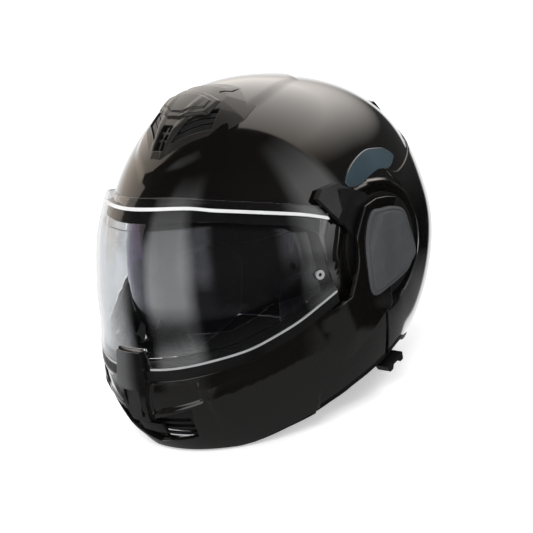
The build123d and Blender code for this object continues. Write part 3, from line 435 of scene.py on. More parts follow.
def add(tree, kind, **values):
    node = tree.nodes.new(kind)
    for key, value in values.items():
        if key in node.inputs:
            node.inputs[key].default_value = value
        else:
            setattr(node, key, value)
    return node


def put(node, **values):
    """Sets sockets, with _ in place of the spaces in their names."""
    for key, value in values.items():
        node.inputs[key.replace("_", " ")].default_value = value


def coordinates(tree, stretch=(1, 1, 1)):
    source = add(tree, "ShaderNodeTexCoord")
    mapping = add(tree, "ShaderNodeMapping")
    put(mapping, Scale=stretch)
    tree.links.new(source.outputs["Object"], mapping.inputs["Vector"])
    return mapping.outputs["Vector"]


def noise(tree, at, scale, detail=3.0, rough=0.5):
    node = add(tree, "ShaderNodeTexNoise", Scale=scale, Detail=detail, Roughness=rough)
    tree.links.new(at, node.inputs["Vector"])
    return node.outputs["Fac"]


def ranged(tree, value, low, high, start=0.3, end=0.7):
    node = add(tree, "ShaderNodeMapRange")
    put(node, From_Min=start, From_Max=end, To_Min=low, To_Max=high)
    tree.links.new(value, node.inputs["Value"])
    return node.outputs["Result"]


def blended(tree, value, dark, light, start=0.3, end=0.7):
    ramp = add(tree, "ShaderNodeValToRGB")
    ramp.color_ramp.elements[0].position = start
    ramp.color_ramp.elements[1].position = end
    ramp.color_ramp.elements[0].color = (*dark, 1)
    ramp.color_ramp.elements[1].color = (*light, 1)
    tree.links.new(value, ramp.inputs["Fac"])
    return ramp.outputs["Color"]


def bumped(tree, shader, height, distance, strength=1.0, under=None):
    node = add(tree, "ShaderNodeBump", Strength=strength, Distance=distance)
    tree.links.new(height, node.inputs["Height"])
    if under is not None:
        tree.links.new(under, node.inputs["Normal"])
    tree.links.new(node.outputs["Normal"], shader.inputs["Normal"])
    return node.outputs["Normal"]


def gloss(name, dark, light, rough=(0.10, 0.16), coat=1.0, flake=0.0):
    material, tree, shader = nodes_of(name)
    at = coordinates(tree)
    tree.links.new(blended(tree, noise(tree, at, 9.0), dark, light), shader.inputs["Base Color"])
    tree.links.new(ranged(tree, noise(tree, at, 60.0), *rough), shader.inputs["Roughness"])
    put(shader, Coat_Weight=coat, Coat_Roughness=0.02)
    bumped(tree, shader, noise(tree, at, 260.0, 1.0), 0.00001)
    return material


def matt(name, dark, light, rough=(0.45, 0.6), grain=1600.0, depth=0.00003, sheen=0.0, shine=0.5):
    material, tree, shader = nodes_of(name)
    at = coordinates(tree)
    tree.links.new(blended(tree, noise(tree, at, 40.0), dark, light), shader.inputs["Base Color"])
    tree.links.new(ranged(tree, noise(tree, at, 220.0), *rough), shader.inputs["Roughness"])
    put(shader, Sheen_Weight=sheen, Specular_IOR_Level=shine)
    bumped(tree, shader, noise(tree, at, grain, 2.0), depth)
    return material


def knit(name, dark, light, pitch=900.0, depth=0.00025, sheen=0.5):
    """Brushed knit: fine ribs across a soft pile, with slight changes of tone."""
    material, tree, shader = nodes_of(name)
    at = coordinates(tree)
    tree.links.new(blended(tree, noise(tree, at, 70.0, 5.0), dark, light), shader.inputs["Base Color"])
    put(shader, Roughness=0.92, Sheen_Weight=sheen, Sheen_Roughness=0.5)
    first = add(tree, "ShaderNodeTexWave", Scale=pitch / 6.3, Distortion=1.5, Detail=1.0)
    first.bands_direction = "Z"
    tree.links.new(at, first.inputs["Vector"])
    under = bumped(tree, shader, first.outputs["Fac"], depth, 0.7)
    bumped(tree, shader, noise(tree, at, pitch * 2, 2.0), depth * 0.6, 0.6, under)
    return material


def glass(name, tint, rough, index=1.49):
    """Clear moulded plastic that lets light through to what is behind it."""
    material, tree, shader = nodes_of(name)
    at = coordinates(tree)
    put(shader, Base_Color=(*tint, 1), Transmission_Weight=1.0, IOR=index)
    tree.links.new(ranged(tree, noise(tree, at, 30.0), *rough), shader.inputs["Roughness"])
    clear = add(tree, "ShaderNodeBsdfTransparent")
    put(clear, Color=(*tint, 1))
    path = add(tree, "ShaderNodeLightPath")
    mix = add(tree, "ShaderNodeMixShader")
    tree.links.new(path.outputs["Is Shadow Ray"], mix.inputs["Fac"])
    tree.links.new(shader.outputs["BSDF"], mix.inputs[1])
    tree.links.new(clear.outputs["BSDF"], mix.inputs[2])
    tree.links.new(mix.outputs["Shader"], tree.nodes["Material Output"].inputs["Surface"])
    return material


def steel_of(name):
    material, tree, shader = nodes_of(name)
    at = coordinates(tree, (1, 1, 30))
    tree.links.new(blended(tree, noise(tree, at, 300.0), (0.42, 0.42, 0.43), (0.62, 0.62, 0.63)),
                   shader.inputs["Base Color"])
    tree.links.new(ranged(tree, noise(tree, at, 500.0), 0.22, 0.38), shader.inputs["Roughness"])
    put(shader, Metallic=1.0)
    bumped(tree, shader, noise(tree, at, 1500.0), 0.00002)
    return material


paint = gloss("gloss_black", (0.0040, 0.0036, 0.0034), (0.0065, 0.0058, 0.0052), (0.08, 0.13))
trim_gloss = gloss("gloss_black_trim", (0.004, 0.004, 0.004), (0.007, 0.007, 0.007), (0.16, 0.24), 0.6)
satin = matt("satin_black", (0.006, 0.006, 0.0065), (0.011, 0.011, 0.0115), (0.30, 0.42))
cover_grey = matt("grey_cover", (0.052, 0.054, 0.058), (0.070, 0.072, 0.077), (0.5, 0.62), 2200.0, 0.00005)
smoke_trim = gloss("smoke_trim", (0.030, 0.048, 0.060), (0.060, 0.088, 0.104), (0.10, 0.18), 1.0)
rubber = matt("rubber", (0.003, 0.003, 0.003), (0.006, 0.006, 0.006), (0.4, 0.55), 900.0, 0.00004, 0.0, 0.25)
foam = matt("foam", (0.010, 0.010, 0.011), (0.018, 0.018, 0.019), (0.75, 0.9), 500.0, 0.0006)
lining = knit("lining", (0.008, 0.008, 0.009), (0.018, 0.018, 0.020))
webbing = knit("webbing", (0.011, 0.011, 0.011), (0.022, 0.022, 0.022), 1400.0, 0.0003, 0.2)
clear = glass("clear_shield", (0.97, 0.98, 0.99), (0.0, 0.012))
smoke = glass("smoke_lens", (0.30, 0.25, 0.36), (0.01, 0.03))
# Near-white colour for the strip on the shield's top edge: a painted highlight for the light caught in the
# clear edge
painted_ridge_highlight = matt("shield_ridge", (0.74, 0.74, 0.74), (0.84, 0.84, 0.85), (0.2, 0.3), 900.0, 0.00002)
steel = steel_of("steel")
# Pale grey for the lens pin rings, and for the strip along the shield's lower edge, where it is a painted
# highlight for light caught in the thick clear edge
pale_grey_and_painted_highlight = matt("shield_rim", (0.30, 0.30, 0.31), (0.40, 0.40, 0.41), (0.15, 0.25), 900.0, 0.00002)
vent_paint = gloss("vent_black", (0.0105, 0.0095, 0.0088), (0.0150, 0.0135, 0.0125), (0.34, 0.42), 0.45)
red = matt("red_tab", (0.40, 0.017, 0.012), (0.50, 0.024, 0.018), (0.3, 0.42))
by_slot = {
    "gloss_black": paint, "gloss_black_trim": trim_gloss, "satin_black": satin, "grey_cover": cover_grey,
    "smoke_trim": smoke_trim, "rubber": rubber, "foam": foam, "lining": lining, "webbing": webbing,
    "clear_shield": clear, "smoke_lens": smoke, "steel": steel, "red_tab": red,
}
for part in frame["record"]["subparts"]:
    node = nodes[part["node"]]
    node.data.materials.clear()
    node.data.materials.append(by_slot[part["material_slot"]])


# Outlines in millimetres, in side view
def line_of(points, size, lift=0.0):
    return rounded([(f, u + lift) for f, u in scaled(points, size)], 6, False)


def region(*parts):
    return np.concatenate([np.atleast_2d(p) for p in parts])


port = line_of(port_line, SHELL_REACH)
port_region = region(port, [(port[-1][0], -FAR), (FAR, -FAR), (FAR, port[0][1])])
rim = line_of(rim_line, SHELL_REACH)


def under_rim(lift):
    front, back = (FAR, rim[0][1] + lift), (-FAR, rim[-1][1] + lift)
    return region([(FAR, -FAR), front], rim + [0, lift], [back, (-FAR, -FAR)])


skirt_region = rounded(scaled(skirt_zone, SHELL_REACH), 4)
band_region = np.array(mirrored(line_of(band, SHELL_REACH)))
arm_region = region(line_of(arm_front, BAR_REACH), line_of(arm_back, BAR_REACH),
                    scaled([(0.25, -0.30), (0.30, -0.17)], BAR_REACH))
sill = line_of(sill_line, BAR_REACH)
bar_region = region(line_of(arm_front, BAR_REACH), line_of(arm_back + bar_rear, BAR_REACH),
                    line_of(bar_bottom, BAR_REACH), [(1.3 * BAR_REACH, sill[0][1] - SILL_DROP)],
                    sill - [0, SILL_DROP])
shield_region = region(sill, line_of(shield_back + shield_top, BAR_REACH))


def side_field(form, outline):
    def field(uv):
        p = form.base(uv[:, 0], uv[:, 1])
        return depth_in(p[:, 1], p[:, 2], outline)
    return field


def facing_field(form, outline, across, along, facing):
    """How far a form's points lie inside an outline drawn from the side that they face."""
    outline = np.array(outline)

    def field(uv):
        p = form.base(uv[:, 0], uv[:, 1])
        return np.where(p[:, facing] > 0, depth_in(across(p[:, 0]), p[:, along], outline), HIDDEN)
    return field


def front_field(form, outline):
    return facing_field(form, outline, np.positive, 2, 1)


def plan_both(form, outline):
    return facing_field(form, outline, np.abs, 1, 2)


def plan_side(form, outline, side):
    return facing_field(form, outline, lambda x: side * x, 1, 2)


def drop(net, field):
    """Takes away the part of a net where the field is above zero."""
    return cut(net, lambda uv: -field(uv))


skirt_form = Form(SHELL_REACH, skirt_shares, SHELL_HALF + 1, crown_fullness)


def shell_form(shares, **more):
    return Form(SHELL_REACH, shares, SHELL_HALF, crown_fullness, **more)


def radial(p):
    r = p * [0.6, 1, 1]
    return r / np.maximum(np.linalg.norm(r, axis=1), 1e-9)[:, None]


def shell_shape(p, uv):
    """Steps out to the skirt, lifts the crown's band and flattens the boss round the hinge."""
    move = skirt_form.base(uv[:, 0], uv[:, 1]) - p
    away = radial(p)
    spread = SKIRT_EASE + SKIRT_SPREAD * ease(-p[:, 2], *SKIRT_FADE)
    share = ease(depth_in(p[:, 1], p[:, 2], skirt_region) / spread, -1, 1)
    share = share * ease((move * away).sum(1), *SKIRT_STEP)
    p = p + move * share[:, None]
    lifted = ease(depth_in(p[:, 0], p[:, 1], band_region), *BAND_EASE) * ease(p[:, 2], *BAND_FADE)
    p = p + away * (BAND_RISE * lifted)[:, None]
    flat = 1 - ease(np.hypot(p[:, 1] - HINGE_FWD, p[:, 2]), BOSS_RADIUS - 1, BOSS_RADIUS + 2)
    x = p[:, 0] + flat * (np.sign(p[:, 0]) * BOSS_FACE - p[:, 0])
    return np.stack([x, p[:, 1], p[:, 2]], -1)


crown_form = shell_form(crown_shares, shape=shell_shape)
net = grid(-89, 267, 440, 200)
net = drop(net, side_field(crown_form, port_region))
whole_shell_net = net
net = drop(net, side_field(crown_form, under_rim(SHELL_MARGIN)))
for mouth in (nose_mouth, side_mouth, tail_mouth):
    outline = scaled(mouth, SHELL_REACH)
    outline = mirrored(outline) if mouth is nose_mouth else outline
    net = drop(net, plan_both(crown_form, outline))
net = cut(net, side_field(crown_form, skirt_region), True)
shell_paint = sheet_solid("shell_paint", crown_form, net, PAINT_WALL, paint)
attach(shell_paint, "shell")
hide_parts("outer_shell")

rim_net = cut(whole_shell_net, side_field(crown_form, under_rim(RIM_TOP)))
rim_net = drop(rim_net, side_field(crown_form, under_rim(RIM_FOOT)))
rim_strip = sheet_solid("rim_strip", crown_form, rim_net, RIM_WALL, rubber, RIM_EDGE, RIM_LIFT)
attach(rim_strip, "shell")
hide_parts("rim_trim")

panel_region = np.array(scaled(panel, BAR_REACH))
crease_fwd, crease_up = np.array(scaled(crease, BAR_REACH)).T


def bar_shape(p, uv):
    """Flattens the arms beside the hinge, raises the crease below the sill and sinks the front panels."""
    share = ease(depth_in(p[:, 1], p[:, 2], arm_region), *ARM_EASE)
    side = np.sign(p[:, 0])
    reach = side * p[:, 0]
    x = side * (reach + share * np.maximum(ARM_FACE - reach, 0))
    sunk = ease(depth_in(reach, p[:, 2], panel_region), -PANEL_EDGE, PANEL_EDGE) * (p[:, 1] > 0)
    under = np.interp(p[:, 1], crease_fwd, crease_up) - p[:, 2]
    ridge = np.where(under > 0, 1 - under / CREASE_BELOW, 1 + under / CREASE_ABOVE).clip(0, 1)
    ridge = ridge * ease(reach, *CREASE_SIDE) * ease(p[:, 1], *CREASE_AHEAD)
    p = p + radial(p) * (CREASE_RISE * ridge)[:, None]
    return np.stack([x, p[:, 1], p[:, 2]], -1) - radial(p) * (PANEL_SINK * sunk)[:, None]


bar_form = Form(BAR_REACH, bar_shares, BAR_HALF, bar_fullness, shape=bar_shape)
net = grid(-89, 120, 260, 220)
net = cut(net, side_field(bar_form, bar_region))
net = drop(net, front_field(bar_form, np.array(mirrored(scaled(vent, BAR_REACH)))))
grown = [(a + BUTTON_GAP, b + BUTTON_GAP * t) for (a, b), t in zip(scaled(button, BAR_REACH), (1, -1))]
net = drop(net, front_field(bar_form, np.array(mirrored(grown))))
for side in (1, -1):
    outline = np.array([(side * a, b) for a, b in scaled(panel, BAR_REACH)])
    net = cut(net, front_field(bar_form, outline), True)
bar_paint = sheet_solid("chin_bar_paint", bar_form, net, PAINT_WALL, paint)
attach(bar_paint, "chin_bar")
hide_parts("chin_bar")


def settle(obj, body, slot, *replaced):
    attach(obj, body)
    if replaced:
        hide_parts(*replaced)
    return obj


# Crescent on each side of the shell
crescent_form = shell_form(crown_shares, grow=CRESCENT_LIFT)
crescent_outline = rounded(scaled(crescent, SHELL_REACH), 8)
crescent_net = cut(grid(30, 160, 260, 150), side_field(crescent_form, crescent_outline))
for side, word in SIDES:
    net = cut(crescent_net, lambda uv: side * uv[:, 1])
    piece = sheet_solid("crescent_" + word, crescent_form, net, CRESCENT_WALL, smoke_trim, CRESCENT_EDGE)
    settle(piece, "shell", "smoke_trim", "side_crescent_" + word)

# Vent on the crown: a painted scoop, slats in its mouths and a sliding shutter on top
scoop_region = np.array(mirrored(scaled(scoop_plan, SHELL_REACH)))
plain_crown = shell_form(crown_shares)


def scoop_shape(p, uv):
    """Rises from the shell at its outline in flat slopes, to a ridged top."""
    low = plain_crown.base(uv[:, 0], uv[:, 1])
    depth = depth_in(p[:, 0], p[:, 1], scoop_region)
    ramp = 0.05 + 0.85 * np.clip(depth / SCOOP_SLOPE, 0, 1)
    line = 7.5 + 0.18 * np.maximum(108 - p[:, 1], 0)
    ridge = SCOOP_RIDGE * (1 - ease(np.abs(np.abs(p[:, 0]) - line), 0.0, SCOOP_RIDGE_HALF))
    ridge = ridge * ease(depth, *SCOOP_RIDGE_IN) * ease(p[:, 1], *SCOOP_RIDGE_AHEAD)
    return low + (p - low) * ramp[:, None] + radial(p) * ridge[:, None]


scoop_form = shell_form(scoop_shares, shape=scoop_shape)


scoop_net = grid(20, 110, 300, 220, -50, 50)
scoop_net = cut(scoop_net, plan_side(scoop_form, scoop_region, 1))
whole_scoop_net = scoop_net
for mouth in (nose_mouth, side_mouth, tail_mouth):
    outline = scaled(mouth, SHELL_REACH)
    if mouth is nose_mouth:
        scoop_net = drop(scoop_net, plan_side(scoop_form, mirrored(outline), 1))
    else:
        for side in (1, -1):
            scoop_net = drop(scoop_net, plan_side(scoop_form, outline, side))
scoop = sheet_solid("vent_scoop", scoop_form, scoop_net, SCOOP_WALL, vent_paint, SCOOP_EDGE, SCOOP_LIFT)
settle(scoop, "shell", "satin_black", "top_vent_scoop")
start, end = np.array(scaled(side_mouth[:2], SHELL_REACH))
along = (end - start) / np.linalg.norm(end - start)
inward = np.array([along[1], -along[0]])
inward = inward if inward @ (np.array(side_mouth[3]) * SHELL_REACH - start) > 0 else -inward
for index in range(SLAT_COUNT):
    low = start + inward * (SLAT_START + SLAT_PITCH * index) - along * SLAT_OVER
    high = low + along * SLAT_LONG
    strip = [low, high, high + inward * SLAT_WIDE, low + inward * SLAT_WIDE]
    for side, word in SIDES:
        slat_net = cut(whole_scoop_net, plan_side(scoop_form, scaled(side_mouth, SHELL_REACH), side))
        slat_net = cut(slat_net, plan_side(scoop_form, strip, side))
        slat = sheet_solid(f"vent_slat_{word}_{index + 1}", scoop_form, slat_net, SLAT_WALL, satin,
                           SLAT_EDGE, -SLAT_SINK)
        settle(slat, "shell", "satin_black", "top_vent_louvres")
# Outlines of the upright and the two cross bars in the nose mouth
nose_rails = [[(-0.9, 98), (0.9, 98), (0.9, 120), (-0.9, 120)]]
nose_rails += [[(-7, f), (7, f), (7, f + 1.5), (-7, f + 1.5)] for f in (103.0, 109.0)]
for index, outline in enumerate(nose_rails):
    rib_net = cut(whole_scoop_net, plan_side(scoop_form, mirrored(scaled(nose_mouth, SHELL_REACH)), 1))
    rib_net = cut(rib_net, plan_side(scoop_form, outline, 1))
    rib = sheet_solid(f"vent_rib_{index + 1}", scoop_form, rib_net, RIB_WALL, satin, RIB_EDGE, -RIB_SINK)
    settle(rib, "shell", "satin_black")

slider_region = np.array(mirrored(scaled(slider_plan, SHELL_REACH)))


def slider_shape(p, uv):
    """The shutter's face: the scoop's own form with two steps up."""
    top = scoop_shape(p, uv)
    depth = depth_in(p[:, 0], p[:, 1], slider_region)
    steps = SLIDER_STEP * np.clip(depth / 1.5, 0, 1) + SLIDER_STEP * np.clip((depth - 5.0) / 0.9, 0, 1)
    return top + radial(p) * (SLIDER_LIFT + steps)[:, None]


slider_form = shell_form(scoop_shares, shape=slider_shape)
slider_net = cut(grid(35, 85, 260, 150, -30, 30), plan_side(slider_form, slider_region, 1))
slider = sheet_solid("vent_slider", slider_form, slider_net, SLIDER_WALL, vent_paint, SLIDER_EDGE)
settle(slider, "top_vent_slider", "satin_black", "top_vent_slider")


# Side covers: bare plates with a bevelled rim, an inset line and one raised facet
class Plate:
    """A face placed by a function of two coordinates; uv are these in units of 100 mm."""
    def __init__(self, place, way, step):
        self.place, self.way, self.step = place, np.array(way), step

    def base(self, a, b):
        return self.place(a * UNIT, b * UNIT)

    def points(self, uv):
        return self.base(uv[:, 0], uv[:, 1])

    def normals(self, uv):
        n = np.cross(self.points(uv + [self.step, 0]) - self.points(uv - [self.step, 0]),
                     self.points(uv + [0, self.step]) - self.points(uv - [0, self.step]))
        n *= np.sign(n @ self.way)[:, None]
        return n / np.linalg.norm(n, axis=1)[:, None]


def flat_net(outline, turns, sides):
    """A net over the inside of an outline, for a plate."""
    low, high = np.min(outline, 0), np.max(outline, 0)
    uv, tri = grid(0, 1, turns, sides, 0, 1)
    uv = (low + (high - low) * (uv / uv.max())) / UNIT
    return cut((uv, tri), lambda v: depth_in(v[:, 0] * UNIT, v[:, 1] * UNIT, outline))


cover_outline = rounded(scaled(cover, BAR_REACH), 5)


def cover_height(fwd, up):
    """How far out the cover's face lies: a bevelled rim, an inset line and a facet along a slanted edge."""
    depth = depth_in(fwd, up, cover_outline)
    ahead = ((fwd - FACET_AT[0]) * FACET_WAY[0] + (up - FACET_AT[1]) * FACET_WAY[1]) / math.hypot(*FACET_WAY)
    facet = 0.9 * ease(-ahead, -6.0, 0.0) - 0.06 * np.clip(ahead, 0, 14)
    line = ease(depth, 2.0, 2.6) * (1 - ease(depth, 3.2, 3.8))
    bevel = COVER_RISE * np.clip(depth / COVER_BEVEL, 0, 1)
    return COVER_FACE + bevel + facet * ease(depth, 3.0, 5.0) - 0.5 * line


def cover_face(side):
    return Plate(lambda fwd, up: np.stack([side * cover_height(fwd, up), fwd, up], -1), (side, 0, 0), 0.004)


cover_net = flat_net(cover_outline, 110, 110)
for side, word in SIDES:
    piece = sheet_solid("cover_" + word, cover_face(side), cover_net, COVER_WALL, cover_grey, COVER_EDGE)
    settle(piece, "chin_bar", "grey_cover", "side_cover_" + word)


# Soft pieces inside: pads swollen from their solids, webbing and the chin curtain
def pad_from(name, node, swell):
    """A cushion swollen by metres from its solid, in slow waves."""
    obj = bpy.data.objects.new(name, nodes[node].data.copy())
    scene.collection.objects.link(obj)
    remesh = obj.modifiers.new("remesh", "REMESH")
    remesh.mode, remesh.voxel_size = "VOXEL", PAD_VOXEL
    smooth = obj.modifiers.new("smooth", "SMOOTH")
    smooth.factor, smooth.iterations = 0.6, 14
    fine = obj.modifiers.new("fine", "SUBSURF")
    fine.levels = fine.render_levels = 1
    graph = bpy.context.evaluated_depsgraph_get()
    mesh = bpy.data.meshes.new_from_object(obj.evaluated_get(graph))
    obj.modifiers.clear()
    obj.data = mesh
    mesh.materials.clear()
    mesh.materials.append(lining)
    count = len(mesh.vertices)
    place, normal = np.zeros(count * 3), np.zeros(count * 3)
    mesh.vertices.foreach_get("co", place)
    mesh.vertices.foreach_get("normal", normal)
    place, normal = place.reshape(-1, 3), normal.reshape(-1, 3)
    wave = sum(np.sin(place[:, axis] * 2 * math.pi / long) * high for axis, long, high in PAD_WAVES)
    place = place + normal * (swell * (0.6 + 0.4 * wave))[:, None]
    mesh.vertices.foreach_set("co", place.ravel())
    mesh.polygons.foreach_set("use_smooth", np.ones(len(mesh.polygons), bool))
    mesh.update()
    settle(obj, "shell", "lining", node)


pad_from("cheek_cushion_left", "cheek_pad_left", 0.0012)
pad_from("cheek_cushion_right", "cheek_pad_right", 0.0012)
pad_from("crown_cushion", "crown_pad", 0.0008)
pad_from("neck_cushion", "neck_roll", 0.0012)


def outward(obj, sharp):
    """Turns an object's faces outward and marks edges sharper than the angle given."""
    work = bmesh.new()
    work.from_mesh(obj.data)
    bmesh.ops.recalc_face_normals(work, faces=work.faces)
    work.to_mesh(obj.data)
    work.free()
    obj.data.set_sharp_from_angle(angle=math.radians(sharp))
    return obj


def ribbon(name, line):
    """Flat webbing along a line in front view, with thicker sewn edges."""
    path = rounded(line, 10, False)
    step = np.gradient(path, axis=0)
    step /= np.linalg.norm(step, axis=1)[:, None]
    up = np.stack([-step[:, 1], step[:, 0]], -1)
    across = np.array([-0.5, -0.47, -0.42, -0.2, 0.0, 0.2, 0.42, 0.47, 0.5])
    half = STRAP_THICK / 2 * np.array([0.55, 1.0, 0.82, 0.8, 0.8, 0.8, 0.82, 1.0, 0.55])
    rows = len(across)
    loop = [(a, h) for a, h in zip(across, half)] + [(a, -h) for a, h in reversed(list(zip(across, half)))]
    points, faces = [], []
    for (x, z), (ux, uz) in zip(path, up):
        points += [(x + ux * h, STRAP_FWD + a * STRAP_WIDE, z + uz * h) for a, h in loop]
    n = 2 * rows
    for i in range(len(path) - 1):
        for j in range(n):
            k = (j + 1) % n
            faces.append((i * n + j, i * n + k, (i + 1) * n + k, (i + 1) * n + j))
    faces.append(tuple(range(n)))
    faces.append(tuple(range((len(path) - 1) * n, len(path) * n))[::-1])
    return outward(mesh_object(name, to_row(np.array(points)), faces, webbing), 50)


def strap_path(end):
    """The strap's line in front view, from its anchor under the shell's side to where it ends."""
    return [(99.5, -90), (99.5, -97), (91, -103.5), (80.5, -108.2), (68, -109.0), (end, -109.0)]


# Chin curtain: a thin fabric sheet along the inside of the bar's lower edge
inner_bar = Form(BAR_REACH, bar_shares, BAR_HALF, bar_fullness, -12.8, -4.8)
inner_uv = grid(-60, -20, 160, 300)[0]
inner_points = inner_bar.base(inner_uv[:, 0], inner_uv[:, 1])
inner_points = inner_points[np.abs(inner_points[:, 2] - CURTAIN_UP) < 0.6]
inner_points = inner_points[np.argsort(inner_points[:, 0])]
curtain_x = np.linspace(-CURTAIN_REACH, CURTAIN_REACH, 61)
curtain_front = np.interp(curtain_x, inner_points[:, 0], inner_points[:, 1])
curtain_back = np.interp(np.abs(curtain_x), [0.0, 54.0, 75.6], [126.0, 118.8, 108.0])
inside_bar = curtain_front > curtain_back + 1.0
curtain_outline = np.concatenate([np.stack([curtain_x, curtain_front], -1)[inside_bar],
                                  np.stack([curtain_x, curtain_back], -1)[inside_bar][::-1]])


def curtain_height(side, fwd):
    slack = ease(depth_in(side, fwd, curtain_outline), 0.0, 8.0)
    return CURTAIN_UP - slack * (1.0 + 0.45 * np.sin(side / 6.5) + 0.25 * np.sin(side / 3.1 + fwd / 5.0))


low, high = curtain_outline.min(0), curtain_outline.max(0)
curtain_net = flat_net(curtain_outline, 150, 60)
curtain_form = Plate(lambda side, fwd: np.stack([side, fwd, curtain_height(side, fwd)], -1), (0, 0, 1), 0.006)
curtain = sheet_solid("curtain", curtain_form, curtain_net, CURTAIN_THICK, lining, CURTAIN_EDGE)
settle(curtain, "chin_bar", "lining", "chin_curtain")
corners = curtain_form.points(curtain_net[0])[curtain_net[1]] * MM

left_strap = ribbon("webbing_left", strap_path(58))
settle(left_strap, "shell", "webbing", "chin_strap_left")
right_strap = ribbon("webbing_right", [(-a, b) for a, b in strap_path(-50)])
settle(right_strap, "shell", "webbing", "chin_strap_right")


# Clear shield, and the smoke sun visor behind it
shield_form = Form(BAR_REACH, bar_shares, BAR_HALF, bar_fullness)
net = grid(-40, 80, 200, 200)
net = cut(net, side_field(shield_form, shield_region))
net = drop(net, front_field(shield_form, np.array(mirrored(scaled(notch, BAR_REACH)))))
pin_at = [PIN_FWD * BAR_REACH, PIN_UP * BAR_REACH]
hole = [(pin_at[0] + LENS_HOLE * math.cos(a), pin_at[1] + LENS_HOLE * math.sin(a))
        for a in np.linspace(0, 2 * math.pi, 25)[:-1]]
net = drop(net, side_field(shield_form, np.array(hole)))
shield = sheet_solid("face_shield_clear", shield_form, net, SHIELD_WALL, clear, 0.6)
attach(shield, "face_shield")
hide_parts("face_shield")

# Near-white strip on the shield's raised top edge: a painted highlight for the light caught in the clear edge
top_line = line_of(shield_top, BAR_REACH)
ridge_region = region(top_line - [0, 7.0], (top_line - [0, 8.8])[::-1])
edge_net = cut(grid(0, 60, 240, 260), side_field(shield_form, ridge_region))
edge_strip = sheet_solid("face_shield_ridge", shield_form, edge_net, 2.6, painted_ridge_highlight, 0.5, 0.5)
settle(edge_strip, "face_shield", "clear_shield")
# Pale grey strip along the shield's lower edge: a painted highlight for light caught in its thick clear edge
sill_region = region(sill + [0, 0.3], (sill + [0, 1.5])[::-1])
low_net = cut(grid(-40, 10, 260, 260), side_field(shield_form, sill_region))
foot_gap = mirrored(scaled([(0.095, -0.21), (0.125, -0.42)], BAR_REACH))
low_net = drop(low_net, front_field(shield_form, foot_gap))
low_strip = sheet_solid("face_shield_foot", shield_form, low_net, 2.4, pale_grey_and_painted_highlight, 0.3, 0.15)
settle(low_strip, "face_shield", "clear_shield")


def turned(name, profile, centre, way, material, steps=40):
    """A turned piece: (radius, height) pairs swept about a direction through a centre."""
    way = np.array(way, float) / np.linalg.norm(way)
    first = np.cross(way, [0, 0, 1.0])
    first /= np.linalg.norm(first)
    second = np.cross(way, first)
    turns = np.linspace(0, 2 * math.pi, steps + 1)[:-1]
    points = [np.array(centre) + way * h + r * (first * math.cos(t) + second * math.sin(t))
              for r, h in profile for t in turns]
    faces = []
    for ring in range(len(profile)):
        nxt = (ring + 1) % len(profile)
        for i in range(steps):
            j = (i + 1) % steps
            faces.append((ring * steps + i, ring * steps + j, nxt * steps + j, nxt * steps + i))
    return outward(mesh_object(name, to_row(np.array(points)), faces, material), 40)


pin_uv = grid(-20, 20, 200, 200, 30, 80)[0]
pin_cloud = shield_form.base(pin_uv[:, 0], pin_uv[:, 1])
nearest = np.argmin((pin_cloud[:, 1] - pin_at[0]) ** 2 + (pin_cloud[:, 2] - pin_at[1]) ** 2)
pin_spot, pin_way = pin_cloud[nearest], shield_form.normals(pin_uv[nearest:nearest + 1])[0]
# The pins are (radius, height) profiles about the shield's own normal
ring_profile = [(1.4, -4.5), (1.4, 0.3), (1.9, 0.9), (3.2, 0.9), (3.9, 0.4), (3.9, -0.6), (3.2, -0.8),
                (3.0, -4.5)]
core_profile = [(0.01, -4.0), (0.01, -0.2), (1.2, -0.2), (1.35, -0.5), (1.35, -4.0)]
for side, word in SIDES:
    flip = np.array([side, 1, 1])
    ring = turned("lens_pin_ring_" + word, ring_profile, pin_spot * flip, pin_way * flip, pale_grey_and_painted_highlight)
    settle(ring, "face_shield", "clear_shield", "lens_pins")
    core = turned("lens_pin_core_" + word, core_profile, pin_spot * flip, pin_way * flip, rubber)
    settle(core, "face_shield", "clear_shield")

even = {angle: 1.0 for angle in range(-80, 280, 20)}
sun_form = Form(SUN_REACH, even, SUN_HALF, sun_fullness, fwd=SUN_FWD, up=SUN_UP)
lens_region = [(SUN_FWD + a, SUN_UP + b) for a, b in scaled(sun_lens, SUN_REACH)]
nose_region = mirrored([(a, SUN_UP + b) for a, b in scaled(sun_nose, SUN_REACH)])
net = cut(grid(-89, 120, 240, 200), side_field(sun_form, lens_region))
net = drop(net, front_field(sun_form, np.array(nose_region)))
sun_lens_piece = sheet_solid("sun_visor_lens", sun_form, net, SUN_WALL, smoke, 0.6)
settle(sun_lens_piece, "sun_visor", "smoke_lens", "sun_visor")


# Lights and the white surround
LAMP_TARGET = (0, 0, 0.15)


def lamp(name, place, size, power):
    """A square soft light aimed at the object, which lights it but isn't reflected in it."""
    data = bpy.data.lights.new(name, "AREA")
    data.energy, data.size = power, size
    obj = bpy.data.objects.new(name, data)
    scene.collection.objects.link(obj)
    obj.location = place
    obj.rotation_euler = (Vector(LAMP_TARGET) - Vector(place)).to_track_quat("-Z", "Y").to_euler()
    obj.visible_glossy = obj.visible_transmission = False


